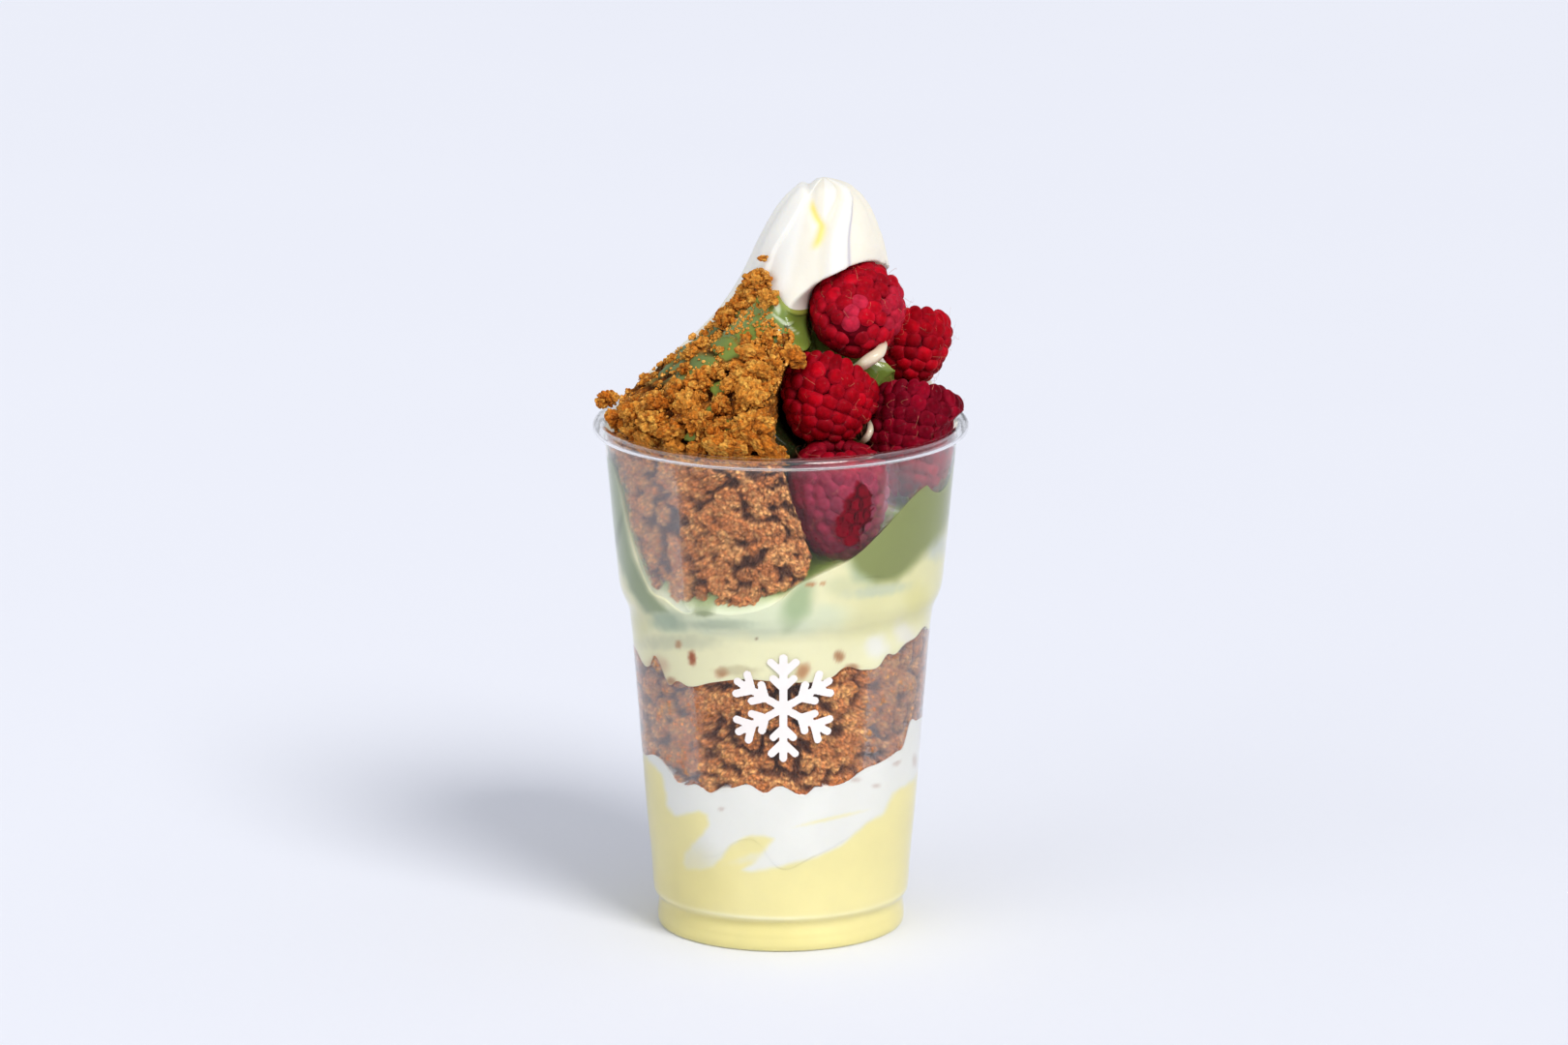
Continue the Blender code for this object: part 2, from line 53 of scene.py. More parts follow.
# Camera
EYE = np.array((0.816, -2000.0, 583.15))
PITCH = math.radians(13.47)
LENS = 186.8
SENSOR = 36.0
PHOTO = (1620, 1080)
FOCAL = PHOTO[0] * LENS / SENSOR
RIGHT = np.array((1.0, 0, 0))
UP = np.array((0, math.sin(PITCH), math.cos(PITCH)))
AHEAD = np.array((0, math.cos(PITCH), -math.sin(PITCH)))
PX = 4.07  # photo pixels to a millimetre at the object's front


# Numbers along lines, noise and colour

def smooth(t):
    t = np.clip(t, 0.0, 1.0)
    return t * t * (3 - 2 * t)


def mix(a, b, t):
    return a + (b - a) * t


def hermite(x, v, at):
    """Values at the places `at` of a Catmull-Rom curve through the points (x, v)."""
    slope = np.gradient(v, x)
    i = np.clip(np.searchsorted(x, at, side="right") - 1, 0, len(x) - 2)
    width = x[i + 1] - x[i]
    t = np.clip((at - x[i]) / width, 0, 1)
    return (
        (2 * t**3 - 3 * t**2 + 1) * v[i] + (t**3 - 2 * t**2 + t) * width * slope[i]
        + (3 * t**2 - 2 * t**3) * v[i + 1] + (t**3 - t**2) * width * slope[i + 1]
    )


def curve(points):
    """A function through (place, value) points."""
    x, v = np.array(points, float).T
    fine = np.linspace(x[0], x[-1], 800)
    table = hermite(x, v, fine)
    return lambda at: np.interp(at, fine, table)


def ring(points):
    """A function of the angle through (angle, value) points that close round the cup."""
    a, v = np.array(sorted((angle % 360, value) for angle, value in points), float).T
    a = np.concatenate([a - 360, a, a + 360])
    v = np.tile(v, 3)
    fine = np.arange(0.0, 360.25, 0.25)
    table = hermite(a, v, fine)
    return lambda angle: np.interp(np.asarray(angle) % 360, fine, table)


def scramble(cell):
    """Three even numbers from 0 to 1 for each whole-number cell."""
    c = cell.astype(np.int64)
    h = (c[..., 0] * 73856093) ^ (c[..., 1] * 19349663) ^ (c[..., 2] * 83492791)
    h = ((h ^ (h >> 13)) * 1274126177) & 0xFFFFFFFF
    h = ((h ^ (h >> 15)) * 2246822519) & 0xFFFFFFFF
    h = h ^ (h >> 14)
    return np.stack([h & 1023, (h >> 10) & 1023, (h >> 20) & 1023], -1) / 1023.0


def noise(points, scale, seed=0.0):
    """Gradient noise from about -1 to 1, with lumps of about the scale."""
    p = np.asarray(points, float) / scale + seed * 7.31
    base = np.floor(p)
    f = p - base
    w = f**3 * (f * (f * 6 - 15) + 10)
    total = np.zeros(p.shape[:-1])
    for corner in itertools.product((0, 1), repeat=3):
        c = np.array(corner)
        gradient = scramble(base + c) * 2 - 1
        weight = np.prod(np.where(c, w, 1 - w), axis=-1)
        total += weight * np.sum(gradient * (f - c), axis=-1)
    return total * 1.4


def cells(points, size, seed=0.0):
    """Distances to the nearest two of centres strewn one to a cell, and the nearest one's own number."""
    p = np.asarray(points, float) / size + seed * 3.7
    base = np.floor(p)
    near = np.full(p.shape[:-1], 9.0)
    second = near.copy()
    tone = np.zeros(p.shape[:-1])
    for offset in itertools.product((-1, 0, 1), repeat=3):
        c = base + np.array(offset)
        number = scramble(c)
        d = np.linalg.norm(p - c - 0.5 - (number - 0.5) * 0.9, axis=-1)
        closer = d < near
        second = np.where(closer, near, np.minimum(second, d))
        tone = np.where(closer, number[..., 0], tone)
        near = np.where(closer, d, near)
    return near, second, tone


def rgb(*colour):
    return np.array(colour, float)


def blend(a, b, t):
    """Colour a to colour b by an array of shares."""
    t = np.asarray(t)[..., None]
    return a * (1 - t) + b * t


def linear(colour):
    c = np.clip(np.asarray(colour, float) / 255, 0, 1)
    return np.where(c <= 0.04045, c / 12.92, ((c + 0.055) / 1.055) ** 2.4)


def at(radius, angle, z, axis_x=0.0):
    """Points by radius and angle round an upright axis, and by height."""
    a = np.radians(angle)
    x, y = axis_x + radius * np.sin(a), -radius * np.cos(a)
    return np.stack(np.broadcast_arrays(x, y, z), -1).astype(float)


# Places in the photo

def view_ray(u, v):
    """The direction of a photo pixel from the camera, one millimetre deep."""
    return AHEAD + RIGHT * (u - PHOTO[0] / 2) / FOCAL + UP * (PHOTO[1] / 2 - v) / FOCAL


def project(points):
    """Photo pixels of points."""
    d = np.asarray(points, float) - EYE
    ahead = d[..., 1] * math.cos(PITCH) - d[..., 2] * math.sin(PITCH)
    up = d[..., 1] * math.sin(PITCH) + d[..., 2] * math.cos(PITCH)
    return PHOTO[0] / 2 + FOCAL * d[..., 0] / ahead, PHOTO[1] / 2 - FOCAL * up / ahead


def front(points):
    """1 on the front of the object, fading to 0 at its sides."""
    return smooth((3 - points[..., 1]) / 9)


def region(points, outline, soft=3.0):
    """From 0 outside to 1 inside an outline of photo pixels, for points of the object's front."""
    u, v = project(points)
    inside = np.zeros(u.shape, bool)
    near = np.full(u.shape, 1e9)
    for (x0, y0), (x1, y1) in zip(outline, outline[1:] + outline[:1]):
        dx, dy = x1 - x0, y1 - y0
        inside ^= ((y0 > v) != (y1 > v)) & (u < x0 + (v - y0) * dx / (dy or 1e-9))
        t = np.clip(((u - x0) * dx + (v - y0) * dy) / (dx * dx + dy * dy), 0, 1)
        near = np.minimum(near, np.hypot(u - x0 - t * dx, v - y0 - t * dy))
    signed = np.where(inside, near, -near) + 1.2 * noise(points, 2.5, 6) * min(soft / 3, 1)
    return smooth(0.5 + signed / (2 * soft)) * front(points)


def spot(points, u, v, wide, tall, tilt=0.0, soft=0.8):
    """From 0 outside to 1 inside a soft oval of photo pixels on the object's front."""
    pu, pv = project(points)
    t = math.radians(tilt)
    du, dv = pu - u, v - pv
    a = (du * math.cos(t) + dv * math.sin(t)) / wide
    b = (dv * math.cos(t) - du * math.sin(t)) / tall
    wobble = 0.3 * noise(points, max(min(wide, tall) * 0.3, 0.7), u * 0.01)
    return smooth((1 + soft / 2 - np.hypot(a, b) - wobble) / soft) * front(points)


# Meshes

def grid_faces(rows, columns, wrap):
    i = np.arange(rows * columns).reshape(rows, columns)
    j = np.roll(i, -1, axis=1)
    if not wrap:
        i, j = i[:, :-1], j[:, :-1]
    return np.stack([i[:-1], j[:-1], j[1:], i[1:]], -1).reshape(-1, 4)


def wrapped(points):
    """Vertices and faces of a body made of rings, closed by a point at each end."""
    rows, columns = points.shape[:2]
    faces = grid_faces(rows, columns, True).tolist()
    first, last = rows * columns, rows * columns + 1
    for k in range(columns):
        n = (k + 1) % columns
        faces.append((n, k, first))
        faces.append(((rows - 1) * columns + k, (rows - 1) * columns + n, last))
    verts = np.vstack([points.reshape(-1, 3), points[0].mean(0), points[-1].mean(0)])
    return verts, faces


def capped(values):
    """A value for every vertex that wrapped() makes, from the grid's."""
    flat = values.reshape(-1, *values.shape[2:])
    return np.concatenate([flat, values[0].mean(0)[None], values[-1].mean(0)[None]])


def piece(name, verts, faces, look, nodes=(), paint=None, wet=None):
    """A smooth mesh object from millimetres, its paint a colour attribute with its wetness as alpha."""
    mesh = bpy.data.meshes.new(name)
    faces = faces.tolist() if isinstance(faces, np.ndarray) else faces
    mesh.from_pydata((np.asarray(verts) * MM).tolist(), [], faces)
    if paint is not None:
        layer = mesh.color_attributes.new("paint", "FLOAT_COLOR", "POINT")
        alpha = np.ones(len(verts)) if wet is None else wet
        layer.data.foreach_set("color", np.column_stack([linear(paint) * PAINT, alpha]).ravel())
    mesh.materials.append(look)
    mesh.shade_smooth()
    obj = bpy.data.objects.new(name, mesh)
    bpy.context.scene.collection.objects.link(obj)
    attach(obj, "root")
    if nodes:
        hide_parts(*nodes)
    return obj


def icosphere(level, floor=None):
    """Vertices and triangles of a ball, or of its part above a height with a flat base."""
    bm = bmesh.new()
    bmesh.ops.create_icosphere(bm, subdivisions=level, radius=1.0)
    if floor is not None:
        everything = [*bm.verts, *bm.edges, *bm.faces]
        plane = {"plane_co": (0, 0, floor), "plane_no": (0, 0, 1)}
        bmesh.ops.bisect_plane(bm, geom=everything, clear_inner=True, **plane)
        bmesh.ops.holes_fill(bm, edges=bm.edges)
        bmesh.ops.triangulate(bm, faces=bm.faces)
        bm.verts.index_update()
    verts = np.array([v.co[:] for v in bm.verts])
    faces = np.array([[v.index for v in f.verts] for f in bm.faces])
    bm.free()
    return verts, faces


SPHERES = {level: icosphere(level) for level in (1, 2, 3, 4, 5)}
DOME = icosphere(3, -0.15)


class Heap:
    """Many small bodies gathered into one mesh."""

    def __init__(self):
        self.verts, self.faces, self.paint, self.count = [], [], [], 0

    def add(self, verts, faces, paint):
        self.verts.append(verts)
        self.faces.append(faces + self.count)
        self.paint.append(np.broadcast_to(paint, verts.shape))
        self.count += len(verts)

    def make(self, name, look, nodes=()):
        return piece(
            name, np.vstack(self.verts), [f for part in self.faces for f in part.tolist()], look, nodes,
            np.vstack(self.paint), np.zeros(self.count),
        )


# Materials

def node(tree, kind, inputs=None, **settings):
    made = tree.nodes.new("ShaderNode" + kind)
    for key, value in settings.items():
        setattr(made, key, value)
    for key, value in (inputs or {}).items():
        if isinstance(value, bpy.types.NodeSocket):
            tree.links.new(value, made.inputs[key])
        else:
            made.inputs[key].default_value = value
    return made


def ramp(tree, value, low, high, to_low=0.0, to_high=1.0):
    inputs = {0: value, 1: low, 2: high, 3: to_low, 4: to_high}
    return node(tree, "MapRange", inputs).outputs[0]


def coloured(tree, factor, a, b, mode="MIX"):
    made = node(tree, "Mix", data_type="RGBA", blend_type=mode)
    for socket, value in ((made.inputs[0], factor), (made.inputs[6], a), (made.inputs[7], b)):
        if isinstance(value, bpy.types.NodeSocket):
            tree.links.new(value, socket)
        else:
            socket.default_value = value
    return made.outputs[2]


def surface(name, **values):
    """A Principled material with an Object coordinate and a painted colour to build on."""
    material = bpy.data.materials.new(name)
    material.use_nodes = True
    tree = material.node_tree
    shader = tree.nodes["Principled BSDF"]
    for key, value in values.items():
        shader.inputs[key.replace("_", " ")].default_value = value
    where = node(tree, "TexCoord").outputs["Object"]
    painted = node(tree, "VertexColor", layer_name="paint")
    return material, tree, shader, where, painted


def grain(tree, where, scale, detail=3.0, distortion=0.0):
    inputs = {"Vector": where, "Scale": scale, "Detail": detail, "Distortion": distortion}
    return node(tree, "TexNoise", inputs).outputs["Fac"]


def bump(tree, shader, height, distance, strength=1.0):
    made = node(tree, "Bump", {"Height": height, "Distance": distance, "Strength": strength})
    tree.links.new(made.outputs[0], shader.inputs["Normal"])


def shaded(tree, painted, shader, shade):
    """The painted colour, lighter and darker by a shade, as the shader's colour."""
    tint = node(tree, "CombineColor", {0: shade, 1: shade, 2: shade}).outputs[0]
    colour = coloured(tree, 1.0, painted.outputs["Color"], tint, "MULTIPLY")
    tree.links.new(colour, shader.inputs["Base Color"])


def cream_look(name, scale=160, rough=(0.3, 0.45), tone=0.05, relief=0.00006, **values):
    material, tree, shader, where, painted = surface(name, **values)
    slow = grain(tree, where, scale)
    fine = grain(tree, where, scale * 9, 4.0)
    shade = ramp(tree, slow, 0.3, 0.7, 1 - tone, 1 + tone * 0.5)
    shaded(tree, painted, shader, shade)
    tree.links.new(ramp(tree, slow, 0.3, 0.7, *rough), shader.inputs["Roughness"])
    bump(tree, shader, fine, relief)
    return material


def crumb_look(name, contrast=0.3, relief=0.00045, rough=0.9, light=(0.85, 0.42, 0.13, 1)):
    """Baked granular crumb: its paint with light sugar grains and dark pores, wet where painted so."""
    material, tree, shader, where, painted = surface(name, Specular_IOR_Level=0.12)
    pores = grain(tree, where, 1150, 5.0)
    lumps = grain(tree, where, 420, 3.0)
    grains = node(tree, "TexVoronoi", {"Vector": where, "Scale": 1250.0}).outputs["Distance"]
    shade = ramp(tree, pores, 0.36, 0.64, 1 - contrast, 1 + contrast)
    tint = node(tree, "CombineColor", {0: shade, 1: shade, 2: shade}).outputs[0]
    crumbly = coloured(tree, 1.0, painted.outputs["Color"], tint, "MULTIPLY")
    bright = ramp(tree, grains, 0.0, 0.35, 0.42, 0.0)
    crumbly = coloured(tree, bright, crumbly, light)
    wet = painted.outputs["Alpha"]
    tree.links.new(coloured(tree, wet, crumbly, painted.outputs["Color"]), shader.inputs["Base Color"])
    tree.links.new(ramp(tree, wet, 0.2, 0.8, rough, 0.3), shader.inputs["Roughness"])
    height = node(tree, "Math", {0: pores, 1: lumps}, operation="ADD").outputs[0]
    height = node(tree, "Math", {0: height, 1: grains}, operation="SUBTRACT").outputs[0]
    flat = ramp(tree, wet, 0.2, 0.8, 1.0, 0.04)
    height = node(tree, "Math", {0: height, 1: flat}, operation="MULTIPLY").outputs[0]
    bump(tree, shader, height, relief)
    return material


def plastic_look():
    """Clear plastic that lets the lamps through, with slight moulding waves."""
    values = {"Transmission_Weight": 1.0, "IOR": 1.5, "Base_Color": (0.985, 0.985, 0.99, 1)}
    material, tree, shader, where, painted = surface("clear_plastic", **values)
    waves = grain(tree, where, 60)
    tree.links.new(ramp(tree, grain(tree, where, 220), 0.35, 0.7, 0.02, 0.07), shader.inputs["Roughness"])
    bump(tree, shader, waves, 0.0004, 0.25)
    lamp = node(tree, "LightPath").outputs["Is Shadow Ray"]
    clear = node(tree, "BsdfTransparent", {0: (0.96, 0.965, 0.98, 1)}).outputs[0]
    facing = node(tree, "LayerWeight", {"Blend": 0.5}).outputs["Facing"]
    thin = node(tree, "BsdfTransparent", {0: (0.985, 0.985, 0.99, 1)}).outputs[0]
    share = ramp(tree, facing, 0.25, 0.85, 0.64, 0.0)
    share = node(tree, "Math", {0: share, 1: painted.outputs["Alpha"]}, operation="MULTIPLY").outputs[0]
    sheet = node(tree, "MixShader", {0: share, 1: shader.outputs[0], 2: thin}).outputs[0]
    both = node(tree, "MixShader", {0: lamp, 1: sheet, 2: clear}).outputs[0]
    tree.links.new(both, tree.nodes["Material Output"].inputs["Surface"])
    return material


def berry_look():
    values = {"Subsurface_Weight": 0.15, "Subsurface_Radius": (1.0, 0.1, 0.08), "Subsurface_Scale": 0.0012,
              "Coat_Weight": 0.025, "Coat_Roughness": 0.05, "Specular_IOR_Level": 0.015}
    material, tree, shader, where, painted = surface("raspberry", **values)
    mottle = grain(tree, where, 600, 3.0)
    bloom = grain(tree, where, 2600, 3.0)
    shade = ramp(tree, mottle, 0.3, 0.7, 0.72, 1.25)
    tint = node(tree, "CombineColor", {0: shade, 1: shade, 2: shade}).outputs[0]
    base = coloured(tree, 1.0, painted.outputs["Color"], tint, "MULTIPLY")
    # painted sheen: the red turns paler pink where the surface is seen edge-on
    edge = node(tree, "LayerWeight", {"Blend": 0.3}).outputs["Facing"]
    pale = ramp(tree, edge, 0.55, 1.0, 0.0, 0.10)
    tree.links.new(coloured(tree, pale, base, (0.42, 0.03, 0.06, 1)), shader.inputs["Base Color"])
    tree.links.new(ramp(tree, mottle, 0.3, 0.7, 0.4, 0.58), shader.inputs["Roughness"])
    bump(tree, shader, bloom, 0.00008, 0.6)
    return material


def hair_look():
    material, tree, shader, where, painted = surface("hair", Roughness=0.5)
    shade = ramp(tree, grain(tree, where, 900), 0.3, 0.7, 0.6, 1.4)
    shaded(tree, painted, shader, shade)
    return material


# The cup's outer wall, as height and radius
WALL = 0.6
OUTER = curve([
    (0.0, 31.0), (0.9, 31.35), (4.0, 31.35), (7.4, 31.35), (8.1, 31.75), (8.9, 32.35), (10.0, 32.5),
    (17.7, 33.04), (28, 34.03), (43, 35.2), (63.7, 36.8), (80.8, 38.25), (82.6, 38.5), (84.2, 39.0),
    (86.6, 40.1), (88.8, 40.8), (90.4, 41.05), (94, 41.4), (104, 42.4), (114, 43.3), (122.9, 44.1),
    (128, 44.45), (132, 44.5),
])
RIM_Z = 131.0
LIP = [
    (44.42, 129.2), (44.7, 130.0), (45.4, 130.5), (46.2, 130.4), (46.75, 129.8), (46.75, 129.2),
    (46.3, 128.7), (45.7, 128.6), (45.5, 128.3), (45.75, 128.05), (46.5, 128.1), (47.1, 128.5),
    (47.42, 129.2), (47.42, 129.9), (47.1, 130.6), (46.4, 131.05), (45.6, 131.15), (44.9, 131.0),
    (44.3, 130.5), (43.95, 129.8), (43.86, 129.0),
]


def inner_wall(z):
    return OUTER(np.minimum(z, 128.0)) - WALL


def soaked(z):
    """The radius of what fills the cup: a little way into its wall, so that no air shows."""
    return inner_wall(z) + 0.25


def make_cup():
    foot = [(0.0, 1.8), (12.0, 1.8), (25.6, 1.8), (26.6, 1.6), (27.3, 0.7), (27.8, 0.15), (28.6, 0.0),
            (30.0, 0.0), (30.6, 0.08)]
    levels = np.concatenate([
        np.linspace(0.35, 1.2, 4), np.linspace(2.5, 7.2, 4), np.linspace(7.5, 9.4, 9),
        np.linspace(12, 80, 22), np.linspace(81.5, 91, 16), np.linspace(94, 128.4, 12),
    ])
    up = [(OUTER(z), z) for z in levels]
    down = [(OUTER(z) - WALL, z) for z in levels[::-1] if z > 1.6]
    floor = [(30.75, 1.3), (30.45, 0.85), (30.0, 0.62), (28.7, 0.6), (28.3, 0.75), (27.8, 1.3), (27.2, 2.1),
             (26.4, 2.4), (20.0, 2.4), (0.0, 2.4)]
    profile = np.array(foot + up + LIP + down + floor)
    angles = np.linspace(0, 360, 145)[:-1]
    points = at(profile[1:-1, :1], angles[None], profile[1:-1, 1:])
    verts, faces = wrapped(points)
    wall = smooth((128.6 - verts[:, 2]) / 1.2)
    paint = np.full(verts.shape, 255.0)
    return piece("clear_cup", verts, faces, plastic_look(), ["cup"], paint, wall)


# Raspberries: node, centre, direction from tip to open end, length, width, colour, notch of the rim

BERRIES = [
    ("raspberry_1", (18.9, -9.0, 160.4), (0.12, 0.93, 0.30), 25.0, 24.2, rgb(172, 8, 26), 0.0),
    ("raspberry_2", (32.2, 5.0, 149.6), (0.05, 0.28, 0.96), 22.5, 21.8, rgb(166, 4, 20), 0.4),
    ("raspberry_3", (11.8, -17.5, 140.2), (0.28, 0.34, 0.90), 25.0, 24.6, rgb(162, 4, 20), 1.3),
    ("raspberry_4", (33.4, -11.9, 130.2), (0.17, 0.24, 0.95), 33.8, 24.4, rgb(124, 4, 26), 1.2),
    ("raspberry_5", (14.4, -27.4, 116.6), (0.00, -0.08, 1.00), 32.0, 25.4, rgb(146, 6, 26), 0.3),
]

# Layers inside the cup

YELLOW_TOP = ring([
    (-180, 34), (-135, 38), (-100, 42), (-80, 43), (-66, 34.3), (-50.7, 31.4), (-43, 27), (-38, 24.5),
    (-27, 25.5), (-17.6, 29.8), (-9, 29), (-4, 24.5), (-1, 23), (14, 25.6), (32, 30.3), (45, 34.6),
    (57, 39.4), (72.5, 39), (90, 41), (135, 36),
])
BAND_BOTTOM = ring([
    (-180, 45), (-130, 47), (-95, 46), (-77, 45.5), (-62, 47.4), (-58, 46.9), (-53, 44.5), (-48.8, 42.6),
    (-43, 42.2), (-36.6, 43), (-33, 41.9), (-29.7, 41.5), (-25, 43), (-20.9, 43.4), (-12.8, 44.7),
    (-6.8, 42.6), (-1.1, 44.5), (10.8, 42.3), (14, 43.9), (18.8, 43.8), (28.3, 44.7), (36.1, 47.1),
    (45, 48), (55, 49.5), (60.8, 50.8), (64, 55.3), (71.9, 55.3), (95, 53), (150, 46),
])
BAND_TOP = ring([
    (-180, 72), (-140, 75), (-100, 74), (-78, 73), (-62, 71.5), (-58, 74.5), (-55.9, 73.8), (-49.3, 67.9),
    (-45, 69.5), (-38.8, 68.8), (-27.7, 70.8), (-15.7, 72.4), (4.5, 71.9), (16.5, 72.1), (21, 73),
    (24.2, 74.7), (34, 73.6), (41.7, 74), (45.2, 76.4), (50, 75.9), (55, 77.6), (63.9, 78.4), (72, 80),
    (80.2, 78), (105, 77), (130, 74),
])
PALE_TOP = ring([
    (-180, 106), (-130, 108), (-95, 106), (-78, 103), (-70.7, 95.3), (-57.3, 89.4), (-45, 86), (-17, 84.4),
    (0, 86.5), (11.5, 88.8), (20, 93), (28.8, 98.1), (42.3, 98), (55.7, 100.9), (71, 105.3), (80, 110.5),
    (100, 110), (140, 107),
])
GREEN_TOP = ring([
    (-180, 118), (-135, 120), (-100, 122), (-82, 122.5), (-70.6, 119.5), (-67.2, 114.6), (-64, 106.4),
    (-58.7, 97.8), (-53.2, 92.5), (-45, 90.9), (-36.9, 88.4), (-27.8, 90), (-19.8, 89.5), (-12.1, 90.3),
    (-6.5, 91.5), (0.7, 94.6), (5.2, 97.6), (11.5, 99.8), (26.4, 104.7), (38.4, 111.4), (49.9, 117.6),
    (66.3, 120.6), (77.6, 122.6), (90, 123.4), (110, 121.5), (140, 119),
])
PLATEAU = 119.0
POCKET_SPAN = 0.36
YELLOW = rgb(245, 235, 170)
WHITE = rgb(240, 240, 233)
PALE = rgb(242, 239, 198)
GREEN = rgb(143, 152, 88)


def spread(wall_line, centre, lift=0.0):
    return lambda rho, angle: mix(centre, wall_line(angle), rho**3) + lift


def foot_floor(rho, angle):
    """The underside of what fills the cup: down in the foot's ring, and raised in its middle."""
    return mix(2.2, 0.4, smooth((rho * 31 - 26.4) / 1.6)) + 0 * angle


def green_top(rho, angle, lift=0.0):
    """The pistachio cream's top: level in the middle, low at the front, pressed in by raspberries."""
    slope = np.minimum((1 - rho) / POCKET_SPAN, 1.0)
    open_front = smooth((wrap_angle(angle) + 8) / 14) * smooth((48 - wrap_angle(angle)) / 12)
    slope = mix(slope, smooth((0.70 - rho) / 0.5), open_front)
    z = mix(GREEN_TOP(angle), PLATEAU, slope)
    beside = smooth((wrap_angle(angle) - 20) / 16) * smooth((82 - wrap_angle(angle)) / 12)
    z = z - 7.5 * beside * smooth((1 - rho) / 0.09) * smooth((rho - 0.58) / 0.16)
    x, y = rho * 42 * np.sin(np.radians(angle)), -rho * 42 * np.cos(np.radians(angle))
    for berry in (3, 4):
        z = under_berry(berry, x, y, z)
    return z + lift


def turns(front, back):
    """Directions round the cup in degrees, close together on the side that the camera sees."""
    left, right = np.linspace(-180, -100, back, endpoint=False), np.linspace(100, 180, back, endpoint=False)
    return np.concatenate([left, np.linspace(-100, 100, front, endpoint=False), right])[None]


def layer_points(bottom, top, rows, angle, inset=None, cap=7):
    """A slice of the cup's contents as rings, from the middle of its underside to the middle of its top."""
    rho = np.concatenate([np.linspace(0.08, 0.88, cap - 2), (0.94, 0.998)])[:, None]
    low, high = bottom(1.0, angle), top(1.0, angle)
    share = np.concatenate([(0.0, 0.003), np.linspace(0.02, 0.98, rows), (0.997, 1.0)])[:, None]
    z = mix(low, high, share)
    side = at(soaked(z) - (inset(angle, z, share) if inset else 0.0), angle, z)
    under_z, over_z = bottom(rho, angle), top(rho[::-1], angle)
    under = at(rho * soaked(under_z), angle, under_z)
    over = at(rho[::-1] * soaked(over_z), angle, over_z)
    return np.concatenate([under, side, over])


def wall_place(points):
    """Angle and height of points."""
    return np.degrees(np.arctan2(points[..., 0], -points[..., 1])), points[..., 2]


WHITE_AREA = [
    (650, 750), (671, 786), (684, 800), (687, 815), (689, 832), (697, 843), (711, 841), (722, 838),
    (730, 842), (732, 852), (726, 862), (716, 872), (708, 883), (706, 892), (710, 898), (724, 899),
    (738, 895), (747, 885), (754, 875), (763, 868), (777, 864), (790, 864), (799, 867), (793, 874),
    (788, 882), (777, 893), (767, 899), (777, 901), (809, 895), (845, 885), (868, 875), (882, 863),
    (897, 850), (913, 841), (923, 820), (945, 805), (965, 750),
]
GREEN_WEDGE = [
    (874, 572), (946, 484), (985, 440), (998, 455), (990, 520), (976, 547), (954, 572), (938, 590),
    (924, 600), (905, 602), (888, 592),
]
LEFT_GREEN = [
    (622, 470), (636, 470), (644, 525), (654, 575), (671, 612), (690, 632), (668, 634), (650, 608),
    (639, 575), (630, 530),
]


# Specks, and painted highlights in the creams' hollow: photo pixel, width and height in pixels, tilt
YELLOW_SPECKS = (
    (938, 765, 5, 4, 0), (926, 788, 4, 3, 30), (944, 786, 2, 6, 0), (905, 812, 4, 2, 0), (745, 836, 3, 2, 0),
    (690, 786, 8, 3, -30), (884, 806, 5, 2, 0),
)
HOLLOW_HIGHLIGHTS = (
    (908, 551, 4, 3, 40), (903, 559, 3, 6, -25), (922, 527, 9, 2, -20), (916, 519, 2, 5, 20),
    (887, 581, 3, 2, 0),
)


